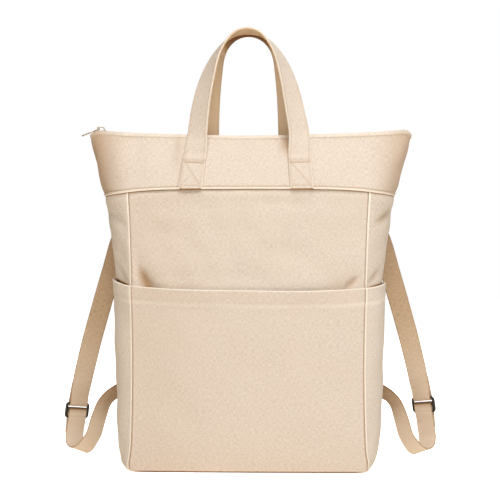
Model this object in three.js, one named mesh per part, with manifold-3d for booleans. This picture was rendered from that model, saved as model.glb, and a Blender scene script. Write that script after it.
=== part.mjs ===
import * as THREE from "three";
import Module from "manifold-3d";

const wasm = await Module();
wasm.setup();

// Sizes are millimetres. X runs to the right, Y to the back and Z up; the base rests on Z = 0.
const CLOTH = 1.5;
const GAP = 0.3;
const SEAM_INSET = 0.2;
const BASE_THICKNESS = 1.6;
const YOKE_SEAM_Z = 345;
const TOP_Z = 413;
const SEAM_RISE = -1.5;
const SIDE_RISE = -7;
const RISE_START_Z = 263;

const POCKET_FOOT_Z = 0.9;
const POCKET_RIM_Z = 221.5;
const POCKET_SEAM_RISE = 6;
const POCKET_SIDE_RISE = 15;
const POCKET_GAPE_FRONT = 6.4;
const POCKET_GAPE_SIDE = 2.4;

const HANDLE_WIDTH = 28;
const HANDLE_THICKNESS = 3;
const HANDLE_SHIFT = -2;
const HANDLE_FOOT_Z = 346.2;
const HANDLE_LEAVE_Z = 383;
const HANDLE_LIE = 2.3;

const STRAP_WIDTH = 25;
const STRAP_THICKNESS = 1.8;
const STRAP_LIE = 1.6;
const STRAP_FOLD_BACK = 26;
const STRAP_TAIL = 30;
const LOOP_RADIUS = 2.6;
const LAYER_OFFSET = 1.05;

const BUCKLE_WIDTH = 34;
const BUCKLE_BAR = 2.5;
const BUCKLE_SLOT = 6.5;
const BUCKLE_SLOT_WIDTH = 26.5;
const BUCKLE_CORNER = 3;
const BUCKLE_THICKNESS = 2.4;
const BUCKLE_BEVEL = 0.35;

const TAPE_THICKNESS = 1;
const TAPE_DROP = 2.2;
const TEETH_WIDTH = 6;
const TEETH_HEIGHT = 2.4;
const TEETH_DROP = 0.5;
const TEETH_LEFT_X = -187.6;
const TEETH_RIGHT_X = 188;

const SLIDER_LEFT_X = -191.4;
const SLIDER_LENGTH = 11.4;
const SLIDER_WIDTH = 7.4;
const SLIDER_PLATE = 1;
const SLIDER_POST_LENGTH = 2.6;
const BRIDGE_WIDTH = 2.4;
const BRIDGE_LEG = 1.6;
const BRIDGE_TOP_Z = 425.4;
const BRIDGE_GAP_TOP_Z = 424.2;
const PIVOT = { x: -187.8, z: 422.9 };
const PULLER_DROP_DEG = 21.5;
const PULLER_LENGTH = 24.3;
const PULLER_EYE = 8.6;
const PULLER_EYE_HALF = 1.6;
const PULLER_HALF = 3.2;
const PULLER_NECK_HALF = 2.6;
const PULLER_BAR_HALF = 0.65;
const PULLER_THICKNESS = 1.2;

// Horizontal sections of the body: corner seam position, front and back bulge, side width and side arc.
const LEVELS = [
  { z: 0, seamX: 143.8, seamY: 45.5, bulge: 2.0, sideX: 147.6, arc: 60 },
  { z: 5, seamX: 144.8, seamY: 47.6, bulge: 3.0, sideX: 152.4, arc: 58 },
  { z: 11, seamX: 144.8, seamY: 48.8, bulge: 4.2, sideX: 155.2, arc: 56 },
  { z: 29, seamX: 142.4, seamY: 49.8, bulge: 6.5, sideX: 159.4, arc: 54 },
  { z: 73, seamX: 140.8, seamY: 50.4, bulge: 9.5, sideX: 163.4, arc: 53 },
  { z: 133, seamX: 140.2, seamY: 50.5, bulge: 11.0, sideX: 164.6, arc: 53 },
  { z: 193, seamX: 141.2, seamY: 50.0, bulge: 11.0, sideX: 165.0, arc: 52 },
  { z: 238, seamX: 142.6, seamY: 49.0, bulge: 11.0, sideX: 166.2, arc: 54 },
  { z: 293, seamX: 144.4, seamY: 46.2, bulge: 11.0, sideX: 173.8, arc: 65 },
  { z: 345, seamX: 146.6, seamY: 42.8, bulge: 10.0, sideX: 179.8, arc: 75 },
  { z: 361, seamX: 146.2, seamY: 37.4, bulge: 8.6, sideX: 184.2, arc: 80 },
  { z: 378, seamX: 145.4, seamY: 28.6, bulge: 7.0, sideX: 188.8, arc: 84 },
  { z: 396, seamX: 144.2, seamY: 17.6, bulge: 5.0, sideX: 194.2, arc: 87 },
  { z: 413, seamX: 143.0, seamY: 9.0, bulge: 2.0, sideX: 198.0, arc: 88 },
];

// Height of the closed top edge from the left end to the right end.
const TOP_EDGE = [
  { x: -200, z: 415.2 },
  { x: -196, z: 418.4 },
  { x: -192, z: 419.8 },
  { x: -187, z: 420.1 },
  { x: -150, z: 417.4 },
  { x: -86, z: 414.8 },
  { x: 0, z: 413 },
  { x: 86, z: 414.6 },
  { x: 150, z: 417 },
  { x: 183, z: 419.4 },
  { x: 193, z: 420.2 },
  { x: 197, z: 418.6 },
  { x: 200, z: 414.6 },
];

// Hollows pressed into the cloth: centre, run of the fold, its half length, half width and depth.
const FRONT_FOLDS = [
  { x: -123, z: 239, run: -56, long: 24, wide: 11, deep: 6.5 },
  { x: 116, z: 239, run: 34, long: 24, wide: 10, deep: 4.8 },
  { x: -40, z: 236, run: 4, long: 60, wide: 12, deep: 1.6 },
  { x: 62, z: 261, run: -18, long: 46, wide: 14, deep: 1.2 },
];
const SIDE_FOLDS = [
  { across: -0.35, z: 311, run: 38, long: 20, wide: 7, deep: 2.2 },
  { across: 0.3, z: 285, run: -32, long: 20, wide: 8, deep: 2.0 },
];

// Right half of each handle above its foot: the facing angle turns the webbing from front to outward.
const HANDLE_FRONT = [
  { x: 62.8, y: -29.6, z: 398, turn: 13 },
  { x: 61.6, y: -23.4, z: 414, turn: 26 },
  { x: 58.2, y: -19.4, z: 445, turn: 35 },
  { x: 53.4, y: -18.0, z: 470, turn: 43 },
  { x: 47.4, y: -17.2, z: 491, turn: 54 },
  { x: 40.4, y: -16.8, z: 509, turn: 67 },
  { x: 34.2, y: -16.5, z: 520, turn: 75 },
  { x: 26.2, y: -16.3, z: 530.4, turn: 83 },
  { x: 14.5, y: -16.2, z: 539.4, turn: 92 },
  { x: 0, y: -16.2, z: 542.6, turn: 97 },
];
const HANDLE_BACK = [
  { x: 51.4, y: 29.8, z: 398, turn: 13 },
  { x: 50.4, y: 23.6, z: 414, turn: 26 },
  { x: 48.4, y: 19.6, z: 445, turn: 37 },
  { x: 45.2, y: 18.2, z: 473, turn: 48 },
  { x: 40.4, y: 17.2, z: 499, turn: 60 },
  { x: 34.6, y: 16.8, z: 516, turn: 73 },
  { x: 26.6, y: 16.4, z: 528.4, turn: 83 },
  { x: 14.8, y: 16.2, z: 537.2, turn: 92 },
  { x: 0, y: 16.2, z: 540.2, turn: 97 },
];
const HANDLES = {
  front: { rows: HANDLE_FRONT, footX: 68, leaveX: 64, footTurn: 5.4, side: -1 },
  back: { rows: HANDLE_BACK, footX: 55, leaveX: 52.4, footTurn: 4.6, side: 1 },
};

// Left shoulder strap from the back yoke seam down to the free loop and up to the back corner seam.
// Yaw and lift turn the width of the webbing; a row without y lies sewn on the back panel.
const STRAP_PATH = [
  { x: -138.6, z: 338.8, yaw: 4, lift: 0 },
  { x: -141.4, z: 330, yaw: 4, lift: 0 },
  { x: -148.5, y: 51.5, z: 319, yaw: 5, lift: 0 },
  { x: -157, y: 55.5, z: 306, yaw: 2, lift: 0 },
  { x: -164.5, y: 57.5, z: 293, yaw: 0, lift: 0 },
  { x: -170, y: 58.5, z: 281, yaw: 0, lift: 0 },
  { x: -180.5, y: 60, z: 245, yaw: 0, lift: 0 },
  { x: -192.4, y: 60, z: 204, yaw: 1, lift: 0 },
  { x: -206.6, y: 59.5, z: 152.5, yaw: 5, lift: 0 },
  { x: -218.2, y: 58, z: 103, yaw: 19, lift: 0 },
  { x: -222.4, y: 57, z: 83, yaw: 33, lift: 0 },
  { x: -225.4, y: 57, z: 63, yaw: 34, lift: 0 },
  { x: -227.6, y: 57, z: 45, yaw: 34, lift: 2 },
  { x: -228.8, y: 54.5, z: 32, yaw: 35, lift: 8 },
  { x: -226.5, y: 48, z: 21.5, yaw: 36, lift: 16 },
  { x: -220.5, y: 39.5, z: 16.8, yaw: 37, lift: 21 },
  { x: -212.5, y: 32, z: 19.5, yaw: 40, lift: 20 },
  { x: -205, y: 27, z: 27.5, yaw: 44, lift: 16 },
  { x: -199, y: 25, z: 37.2, yaw: 47, lift: 12 },
  { x: -193, y: 28, z: 58, yaw: 50, lift: 10 },
  { x: -186.4, y: 34.5, z: 75.9, yaw: 60, lift: 22 },
  { x: -179.8, y: 39, z: 84, yaw: 70, lift: 32 },
  { x: -172.3, y: 44, z: 89.2, yaw: 80, lift: 42 },
  { x: -162, y: 50, z: 93.6, yaw: 85, lift: 60 },
  { x: -152, y: 53.6, z: 96.4, yaw: 88, lift: 78 },
  { x: -140.6, y: 54.2, z: 98, yaw: 90, lift: 86 },
  { x: -130, z: 99, yaw: 90, lift: 88 },
];
const STRAP_SIDES = [
  { name: "left", mirrored: false, buckleZ: 63.6, reach: 1 },
  { name: "right", mirrored: true, buckleZ: 72.4, reach: 0.99 },
];

// Grid rows of the panels, from the base to the lap under the yoke, and shares up the pockets.
const PANEL_ROWS = [0.3, 5, 11, 29, 73, 133, 183, 211, 231, 251, 275, 301, 325, 345, 353];
const POCKET_SHARES = [0, 0.018, 0.044, 0.122, 0.312, 0.57, 0.79, 0.9, 0.96, 1];
const YOKE_SHARES = [0, 0.12, 0.24, 0.42, 0.6, 0.78, 0.9, 1];
const FRONT_STEPS = 20;
const BACK_STEPS = 10;
const SIDE_STEPS = 8;
const HALF_SIDE_STEPS = SIDE_STEPS / 2;

const rad = THREE.MathUtils.degToRad;

// Smooth curve through one column of a table.
function track(rows, key, name) {
  const at = rows.map((row) => row[key]);
  const value = rows.map((row) => row[name]);
  const slope = value.map((_, i) => {
    const a = Math.max(i - 1, 0);
    const b = Math.min(i + 1, value.length - 1);
    return (value[b] - value[a]) / (at[b] - at[a]);
  });
  return (x) => {
    let i = 0;
    while (i < at.length - 2 && x > at[i + 1]) i += 1;
    const h = at[i + 1] - at[i];
    const s = THREE.MathUtils.clamp((x - at[i]) / h, 0, 1);
    const s2 = s * s;
    const s3 = s2 * s;
    return (
      value[i] * (2 * s3 - 3 * s2 + 1) +
      slope[i] * h * (s3 - 2 * s2 + s) +
      value[i + 1] * (3 * s2 - 2 * s3) +
      slope[i + 1] * h * (s3 - s2)
    );
  };
}

const levelTracks = {};
for (const name of ["seamX", "seamY", "bulge", "sideX", "arc"]) {
  levelTracks[name] = track(LEVELS, "z", name);
}
const topEdge = track(TOP_EDGE, "x", "z");

function level(z) {
  const ring = {};
  for (const [name, curve] of Object.entries(levelTracks)) ring[name] = curve(z);
  return ring;
}

function unit(x, y) {
  const size = Math.hypot(x, y);
  return { x: x / size, y: y / size };
}

// Outward directions of the front arc and of the right side arc, before they are mitred at the seam.
function frontNormal(ring, t) {
  return unit(2 * ring.bulge * t, -ring.seamX);
}

function sideNormal(ring, k) {
  const edge = rad(ring.arc);
  const turn = edge * k;
  const reach = (ring.sideX - ring.seamX) / (1 - Math.cos(edge));
  return unit((ring.seamY * Math.cos(turn)) / Math.sin(edge), reach * Math.sin(turn));
}

function mitre(own, ownEdge, otherEdge, share) {
  const half = unit(ownEdge.x + otherEdge.x, ownEdge.y + otherEdge.y);
  const pull = Math.abs(share) ** 6;
  return unit(own.x + (half.x - ownEdge.x) * pull, own.y + (half.y - ownEdge.y) * pull);
}

// Point and outward direction on the front arc, t from -1 at the left seam to 1 at the right seam.
function onFront(ring, t) {
  const end = t < 0 ? -1 : 1;
  const side = sideNormal(ring, -1);
  const n = mitre(frontNormal(ring, t), frontNormal(ring, end), { x: end * side.x, y: side.y }, t);
  return { x: ring.seamX * t, y: -(ring.seamY + ring.bulge * (1 - t * t)), nx: n.x, ny: n.y };
}

// Point and outward direction on the right side arc, k from -1 at the front seam to 1 at the back seam.
function onSide(ring, k) {
  const edge = rad(ring.arc);
  const turn = edge * k;
  const end = k < 0 ? -1 : 1;
  const front = frontNormal(ring, 1);
  const n = mitre(sideNormal(ring, k), sideNormal(ring, end), { x: front.x, y: -end * front.y }, k);
  const share = (Math.cos(turn) - Math.cos(edge)) / (1 - Math.cos(edge));
  const x = ring.seamX + (ring.sideX - ring.seamX) * share;
  return { x, y: (ring.seamY * Math.sin(turn)) / Math.sin(edge), nx: n.x, ny: n.y };
}

// Height of a wall point: rows below the yoke droop to the sides, rows above reach for the top edge.
const topRing = level(TOP_Z);

function wallZ(z, seamShare, sideShare, topX) {
  const low = SEAM_RISE * seamShare + (SIDE_RISE - SEAM_RISE) * sideShare;
  if (z <= YOKE_SEAM_Z) {
    const start = THREE.MathUtils.smoothstep(z, RISE_START_Z, YOKE_SEAM_Z);
    return z + low * start;
  }
  const up = (z - YOKE_SEAM_Z) / (TOP_Z - YOKE_SEAM_Z);
  return z + low * (1 - up) + (topEdge(topX) - TOP_Z) * up;
}

function frontZ(z, t) {
  return wallZ(z, t * t, 0, topRing.seamX * t);
}

function sideZ(z, k, sign) {
  return wallZ(z, 1, 1 - k * k, sign * (onSide(topRing, k).x + CLOTH));
}

function hollow(folds, along, z) {
  let depth = 0;
  for (const fold of folds) {
    const u = along - fold.x;
    const v = z - fold.z;
    const c = Math.cos(rad(fold.run));
    const s = Math.sin(rad(fold.run));
    const long = (u * c + v * s) / fold.long;
    const wide = (v * c - u * s) / fold.wide;
    depth += fold.deep * Math.exp(-long * long - wide * wide);
  }
  return depth;
}

// Closed solid between an outer and an inner surface over the same grid; turned columns split their
// faces along the other diagonal, so that layers over each other bend alike.
function sheet(steps, rows, outer, inner, turned = () => false) {
  const count = rows + 1;
  const half = (steps + 1) * count;
  const points = [];
  for (const surface of [outer, inner]) {
    for (let i = 0; i <= steps; i += 1) {
      for (let j = 0; j <= rows; j += 1) points.push(...surface(i, j));
    }
  }
  const out = (i, j) => i * count + j;
  const into = (i, j) => half + i * count + j;
  const faces = [];
  const quad = (a, b, c, d) => faces.push(a, b, c, a, c, d);
  for (let i = 0; i < steps; i += 1) {
    for (let j = 0; j < rows; j += 1) {
      const near = [out(i, j), out(i + 1, j), out(i + 1, j + 1), out(i, j + 1)];
      const far = [into(i, j), into(i, j + 1), into(i + 1, j + 1), into(i + 1, j)];
      if (turned(i)) {
        near.push(near.shift());
        far.push(far.shift());
      }
      quad(...near);
      quad(...far);
    }
    quad(out(i + 1, 0), out(i, 0), into(i, 0), into(i + 1, 0));
    quad(out(i, rows), out(i + 1, rows), into(i + 1, rows), into(i, rows));
  }
  for (let j = 0; j < rows; j += 1) {
    quad(out(steps, j + 1), out(steps, j), into(steps, j), into(steps, j + 1));
    quad(out(0, j), out(0, j + 1), into(0, j + 1), into(0, j));
  }
  const geometry = new THREE.BufferGeometry();
  geometry.setAttribute("position", new THREE.Float32BufferAttribute(points, 3));
  geometry.setIndex(faces);
  return geometry;
}

// Copy of a geometry mirrored through the plane across one axis.
function mirrored(geometry, axis) {
  const copy = geometry.clone();
  const at = copy.getAttribute("position");
  for (let i = 0; i < at.count; i += 1) at.setComponent(i, axis, -at.getComponent(i, axis));
  const index = copy.getIndex();
  if (index) {
    for (let i = 0; i < index.count; i += 3) {
      const keep = index.getX(i);
      index.setX(i, index.getX(i + 1));
      index.setX(i + 1, keep);
    }
    return copy;
  }
  for (let i = 0; i < at.count; i += 3) {
    for (let c = 0; c < 3; c += 1) {
      const keep = at.getComponent(i, c);
      at.setComponent(i, c, at.getComponent(i + 1, c));
      at.setComponent(i + 1, c, keep);
    }
  }
  return copy;
}

const backHalf = (i) => i >= HALF_SIDE_STEPS;
const leftEnd = (i) => i < HALF_SIDE_STEPS;

function spread(from, to, steps, i) {
  return from + ((to - from) * i) / steps;
}

function offset(place, distance, z) {
  return [place.x + place.nx * distance, place.y + place.ny * distance, z];
}

// The large panels
function frontPanel(steps, folds) {
  const surface = (depth) => (i, j) => {
    const z = PANEL_ROWS[j];
    const ring = level(z);
    const edge = 1 - SEAM_INSET / ring.seamX;
    const t = spread(-edge, edge, steps, i);
    const place = onFront(ring, t);
    return offset(place, -depth - hollow(folds, place.x, z), frontZ(z, t));
  };
  return sheet(steps, PANEL_ROWS.length - 1, surface(0), surface(CLOTH));
}

function sidePanel(sign, folds) {
  const rows = folds.map((fold) => ({ ...fold, x: fold.across * level(fold.z).seamY }));
  const surface = (depth) => (i, j) => {
    const z = PANEL_ROWS[j];
    const ring = level(z);
    const edge = 1 - SEAM_INSET / ring.seamY;
    const k = spread(-edge, edge, SIDE_STEPS, i);
    const place = onSide(ring, k);
    return offset(place, -depth - hollow(rows, place.y, z), sideZ(z, k, sign));
  };
  return sheet(SIDE_STEPS, PANEL_ROWS.length - 1, surface(0), surface(CLOTH), backHalf);
}

// The pockets stand off the wall at the rim and lie on it at the seams and the foot.
function pocketSheet(steps, inset, place, rimZ, gape, turned) {
  const surface = (extra) => (i, j) => {
    const a = spread(-1, 1, steps, i);
    const z = POCKET_FOOT_Z + (rimZ(a) - POCKET_FOOT_Z) * POCKET_SHARES[j];
    const ring = level(z);
    const open = gape(a) * THREE.MathUtils.smoothstep(POCKET_SHARES[j], 0.3, 1);
    return offset(place(ring, a * inset(ring)), GAP + open + extra, z);
  };
  return sheet(steps, POCKET_SHARES.length - 1, surface(CLOTH), surface(0), turned);
}

function frontPocket() {
  return pocketSheet(
    FRONT_STEPS,
    (ring) => 1 - SEAM_INSET / ring.seamX,
    onFront,
    (t) => POCKET_RIM_Z + POCKET_SEAM_RISE * t * t,
    (t) => POCKET_GAPE_FRONT * (1 - t * t) ** 0.8,
  );
}

function sidePocket() {
  return pocketSheet(
    SIDE_STEPS,
    (ring) => 1 - SEAM_INSET / ring.seamY,
    onSide,
    (k) => POCKET_RIM_Z + POCKET_SEAM_RISE + (POCKET_SIDE_RISE - POCKET_SEAM_RISE) * (1 - k * k),
    (k) => POCKET_GAPE_SIDE * (1 - k * k),
    backHalf,
  );
}

// The yoke runs from side to side over the top of the panels.
function yokePlace(ring, i) {
  const last = 2 * HALF_SIDE_STEPS + FRONT_STEPS;
  const end = Math.asin((SEAM_INSET * Math.sin(rad(ring.arc))) / ring.seamY) / rad(ring.arc);
  if (i < HALF_SIDE_STEPS) {
    const k = spread(-end, -1, HALF_SIDE_STEPS, i);
    const place = onSide(ring, k);
    return { place: { ...place, x: -place.x, nx: -place.nx }, k, sign: -1 };
  }
  if (i > last - HALF_SIDE_STEPS) {
    const k = spread(-1, -end, HALF_SIDE_STEPS, i - last + HALF_SIDE_STEPS);
    return { place: onSide(ring, k), k, sign: 1 };
  }
  const t = spread(-1, 1, FRONT_STEPS, i - HALF_SIDE_STEPS);
  return { place: onFront(ring, t), t };
}

function yoke() {
  const surface = (extra) => (i, j) => {
    const z = YOKE_SEAM_Z + (TOP_Z - YOKE_SEAM_Z) * YOKE_SHARES[j];
    const { place, k, t, sign } = yokePlace(level(z), i);
    const height = t === undefined ? sideZ(z, k, sign) : frontZ(z, t);
    return offset(place, GAP + extra, height);
  };
  const steps = 2 * HALF_SIDE_STEPS + FRONT_STEPS;
  return sheet(steps, YOKE_SHARES.length - 1, surface(CLOTH), surface(0), leftEnd);
}

function basePanel() {
  const ring = level(PANEL_ROWS[0]);
  const outline = [];
  const add = (place, sx, sy) => {
    const p = offset(place, -CLOTH - GAP, 0);
    outline.push(new THREE.Vector2(sx * p[0], sy * p[1]));
  };
  for (let i = 0; i < FRONT_STEPS; i += 1) add(onFront(ring, spread(-1, 1, FRONT_STEPS, i)), 1, 1);
  for (let i = 0; i < SIDE_STEPS; i += 1) add(onSide(ring, spread(-1, 1, SIDE_STEPS, i)), 1, 1);
  for (let i = 0; i < FRONT_STEPS; i += 1) add(onFront(ring, spread(-1, 1, FRONT_STEPS, i)), -1, -1);
  for (let i = 0; i < SIDE_STEPS; i += 1) add(onSide(ring, spread(-1, 1, SIDE_STEPS, i)), -1, -1);
  const shape = new THREE.Shape(outline);
  return new THREE.ExtrudeGeometry(shape, { depth: BASE_THICKNESS, bevelEnabled: false });
}

// Flat webbing along stations that each hold a centre and a width direction.
function band(stations, width, thickness) {
  const last = stations.length - 1;
  const frames = stations.map((station, i) => {
    const before = stations[Math.max(i - 1, 0)].centre;
    const after = stations[Math.min(i + 1, last)].centre;
    const along = after.clone().sub(before).normalize();
    const across = station.across.clone().addScaledVector(along, -along.dot(station.across)).normalize();
    return { centre: station.centre, across, face: across.clone().cross(along) };
  });
  const surface = (side) => (i, j) => {
    const { centre, across, face } = frames[j];
    const point = centre.clone().addScaledVector(across, (i - 0.5) * width);
    return point.addScaledVector(face, (side * thickness) / 2).toArray();
  };
  return sheet(1, last, surface(1), surface(-1));
}

// The handles lie on the yoke at their feet, then turn outward up to the arch.
function handle({ rows, footX, leaveX, footTurn, side }) {
  const half = [];
  const feet = 3;
  for (let i = 0; i <= feet; i += 1) {
    const z = spread(HANDLE_FOOT_Z, HANDLE_LEAVE_Z, feet, i);
    const ring = level(z);
    const x = spread(footX, leaveX, feet, i);
    const place = onFront(ring, x / ring.seamX);
    const y = side * (-place.y + GAP + CLOTH + HANDLE_LIE);
    half.push({ x, y, z: frontZ(z, x / ring.seamX), turn: footTurn });
  }
  half.push(...rows);
  const left = half.map((row) => ({ ...row, x: -row.x }));
  const all = left.concat(half.slice(0, -1).reverse());
  const centres = all.map((row) => new THREE.Vector3(row.x + HANDLE_SHIFT, row.y, row.z));
  const path = new THREE.CatmullRomCurve3(centres, false, "centripetal");
  const turnAt = track(all.map((row, i) => ({ i, turn: row.turn })), "i", "turn");
  const steps = 2 * all.length;
  const stations = [];
  for (let i = 0; i <= steps; i += 1) {
    const u = i / steps;
    const along = path.getTangent(u);
    const outward = new THREE.Vector3(-along.z, 0, along.x).normalize();
    const turn = rad(turnAt(u * (all.length - 1)));
    const across = outward.multiplyScalar(Math.cos(turn));
    across.y -= side * Math.sin(turn);
    stations.push({ centre: path.getPoint(u), across });
  }
  return band(stations, HANDLE_WIDTH, HANDLE_THICKNESS);
}

// The strap path is measured by length, so that the buckle can sit at a set height on it.
function backFace(x, z) {
  const ring = level(z);
  return -onFront(ring, x / ring.seamX).y;
}

function strapPath(reach) {
  const centres = STRAP_PATH.map((row) => {
    const x = row.x * reach;
    const y = row.y === undefined ? backFace(x, row.z) + STRAP_LIE : row.y;
    return new THREE.Vector3(x, y, row.z);
  });
  const curve = new THREE.CatmullRomCurve3(centres, false, "centripetal");
  curve.arcLengthDivisions = 800;
  const index = STRAP_PATH.map((row, i) => ({ i, yaw: row.yaw, lift: row.lift }));
  const yaw = track(index, "i", "yaw");
  const lift = track(index, "i", "lift");
  const total = curve.getLength();
  const at = (length) => {
    const u = curve.getUtoTmapping(THREE.MathUtils.clamp(length / total, 0, 1));
    const along = curve.getTangent(u);
    const a = rad(yaw(u * (STRAP_PATH.length - 1)));
    const b = rad(lift(u * (STRAP_PATH.length - 1)));
    const across = new THREE.Vector3(-Math.cos(b) * Math.cos(a), -Math.cos(b) * Math.sin(a), Math.sin(b));
    across.addScaledVector(along, -along.dot(across)).normalize();
    return { centre: curve.getPoint(u), along, across, face: across.clone().cross(along) };
  };
  return { at, total };
}

function buckleLength(strap, height) {
  let low = 0;
  let high = strap.total * 0.6;
  for (let i = 0; i < 40; i += 1) {
    const middle = (low + high) / 2;
    if (strap.at(middle).centre.z > height) low = middle;
    else high = middle;
  }
  return low;
}

// Stations of webbing, each at a length on the path and a distance in front of it.
function strapStations(strap, rows) {
  return rows.map(({ length, front }) => {
    const { centre, across, face } = strap.at(length);
    return { centre: centre.clone().addScaledVector(face, front), across };
  });
}

function upperStrap(strap, bar) {
  const runEnd = bar - STRAP_FOLD_BACK - 12;
  const rows = [];
  const runSteps = 22;
  for (let i = 0; i <= runSteps; i += 1) rows.push({ length: spread(0, runEnd, runSteps, i), front: 0 });
  rows.push({ length: bar - STRAP_FOLD_BACK, front: LAYER_OFFSET });
  rows.push({ length: bar - 12, front: 1.3 });
  rows.push({ length: bar - 5, front: 2.2 });
  rows.push({ length: bar - 1.5, front: LOOP_RADIUS });
  const turns = 8;
  for (let i = 0; i <= turns; i += 1) {
    const a = (Math.PI * i) / turns;
    rows.push({ length: bar + 0.5 + LOOP_RADIUS * Math.sin(a), front: LOOP_RADIUS * Math.cos(a) });
  }
  rows.push({ length: bar - 1.5, front: -LOOP_RADIUS });
  rows.push({ length: bar - 5, front: -2.2 });
  rows.push({ length: bar - 12, front: -1.3 });
  rows.push({ length: bar - STRAP_FOLD_BACK, front: -LAYER_OFFSET });
  return band(strapStations(strap, rows), STRAP_WIDTH, STRAP_THICKNESS);
}

function lowerStrap(strap, middle, bottom) {
  const rows = [];
  rows.push({ length: middle + STRAP_TAIL, front: -LAYER_OFFSET });
  rows.push({ length: bottom + 12, front: -1.3 });
  rows.push({ length: bottom + 5, front: -2.2 });
  rows.push({ length: bottom + 1, front: -LOOP_RADIUS });
  rows.push({ length: bottom - 3, front: -LOOP_RADIUS });
  const turns = 8;
  for (let i = 0; i <= turns; i += 1) {
    const a = (Math.PI * i) / turns;
    rows.push({ length: middle - 0.5 - LOOP_RADIUS * Math.sin(a), front: -LOOP_RADIUS * Math.cos(a) });
  }
  rows.push({ length: bottom - 3, front: LOOP_RADIUS });
  rows.push({ length: bottom + 1, front: LOOP_RADIUS });
  rows.push({ length: bottom + 5, front: 2.2 });
  rows.push({ length: bottom + 12, front: 1.3 });
  rows.push({ length: middle + STRAP_TAIL, front: LAYER_OFFSET });
  const runSteps = 30;
  const runStart = middle + STRAP_TAIL + 12;
  for (let i = 0; i <= runSteps; i += 1) {
    rows.push({ length: spread(runStart, strap.total, runSteps, i), front: 0 });
  }
  return band(strapStations(strap, rows), STRAP_WIDTH, STRAP_THICKNESS);
}

function roundedRectangle(path, width, height, radius, middleY) {
  const x = width / 2;
  const y = height / 2;
  path.moveTo(-x + radius, middleY - y);
  path.lineTo(x - radius, middleY - y);
  path.absarc(x - radius, middleY - y + radius, radius, -Math.PI / 2, 0);
  path.absarc(x - radius, middleY + y - radius, radius, 0, Math.PI / 2);
  path.absarc(-x + radius, middleY + y - radius, radius, Math.PI / 2, Math.PI);
  path.absarc(-x + radius, middleY - y + radius, radius, Math.PI, 1.5 * Math.PI);
  return path;
}

function buckle(strap, middle) {
  const pitch = BUCKLE_BAR + BUCKLE_SLOT;
  const height = 3 * BUCKLE_BAR + 2 * BUCKLE_SLOT;
  const cut = 2 * BUCKLE_BEVEL;
  const shape = roundedRectangle(new THREE.Shape(), BUCKLE_WIDTH - cut, height - cut, BUCKLE_CORNER, 0);
  for (const side of [-1, 1]) {
    const slot = new THREE.Path();
    const slotY = (side * pitch) / 2;
    roundedRectangle(slot, BUCKLE_SLOT_WIDTH + cut, BUCKLE_SLOT + cut, 0.8, slotY);
    shape.holes.push(slot);
  }
  const geometry = new THREE.ExtrudeGeometry(shape, {
    depth: BUCKLE_THICKNESS - cut,
    bevelEnabled: true,
    bevelThickness: BUCKLE_BEVEL,
    bevelSize: BUCKLE_BEVEL,
    bevelSegments: 1,
    curveSegments: 2,
  });
  geometry.translate(0, 0, BUCKLE_BEVEL - BUCKLE_THICKNESS / 2);
  const { centre, along, across } = strap.at(middle);
  const up = along.clone().negate();
  const frame = new THREE.Matrix4().makeBasis(across, up, across.clone().cross(up));
  geometry.applyMatrix4(frame.setPosition(centre));
  return geometry;
}

// The closed zip lies just under the top edge.
function topPlaces() {
  const places = [];
  const last = 2 * HALF_SIDE_STEPS + FRONT_STEPS;
  for (let i = 1; i < last; i += 1) {
    const { place } = yokePlace(topRing, i);
    if (Math.abs(place.x) < TEETH_RIGHT_X - 1) places.push(place);
  }
  return places;
}

function zipTape() {
  const places = topPlaces();
  const surface = (lower) => (i, j) => {
    const place = places[j];
    const y = i === 0 ? -TEETH_WIDTH / 2 - GAP : place.y + 0.1;
    const z = topEdge(place.x) - TAPE_DROP + (lower ? 0 : TAPE_THICKNESS);
    return [place.x, y, z];
  };
  return sheet(1, places.length - 1, surface(false), surface(true));
}

function zipTeeth() {
  const steps = 26;
  const stations = [];
  for (let i = 0; i <= steps; i += 1) {
    const x = spread(TEETH_LEFT_X, TEETH_RIGHT_X, steps, i);
    const z = topEdge(x) - TEETH_DROP - TEETH_HEIGHT / 2;
    stations.push({ centre: new THREE.Vector3(x, 0, z), across: new THREE.Vector3(0, 1, 0) });
  }
  return band(stations, TEETH_WIDTH, TEETH_HEIGHT);
}

function toManifold(geometry) {
  const flat = geometry.index ? geometry.toNonIndexed() : geometry;
  const at = flat.getAttribute("position");
  const mesh = new wasm.Mesh({
    numProp: 3,
    vertProperties: new Float32Array(at.array),
    triVerts: Uint32Array.from({ length: at.count }, (_, i) => i),
  });
  mesh.merge();
  return new wasm.Manifold(mesh);
}

function fromManifold(solid) {
  const mesh = solid.getMesh();
  const geometry = new THREE.BufferGeometry();
  geometry.setAttribute("position", new THREE.BufferAttribute(mesh.vertProperties, 3));
  geometry.setIndex(new THREE.BufferAttribute(mesh.triVerts, 1));
  return geometry;
}

function block(x0, x1, halfY, z0, z1) {
  const geometry = new THREE.BoxGeometry(x1 - x0, 2 * halfY, z1 - z0);
  return geometry.translate((x0 + x1) / 2, 0, (z0 + z1) / 2);
}

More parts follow.
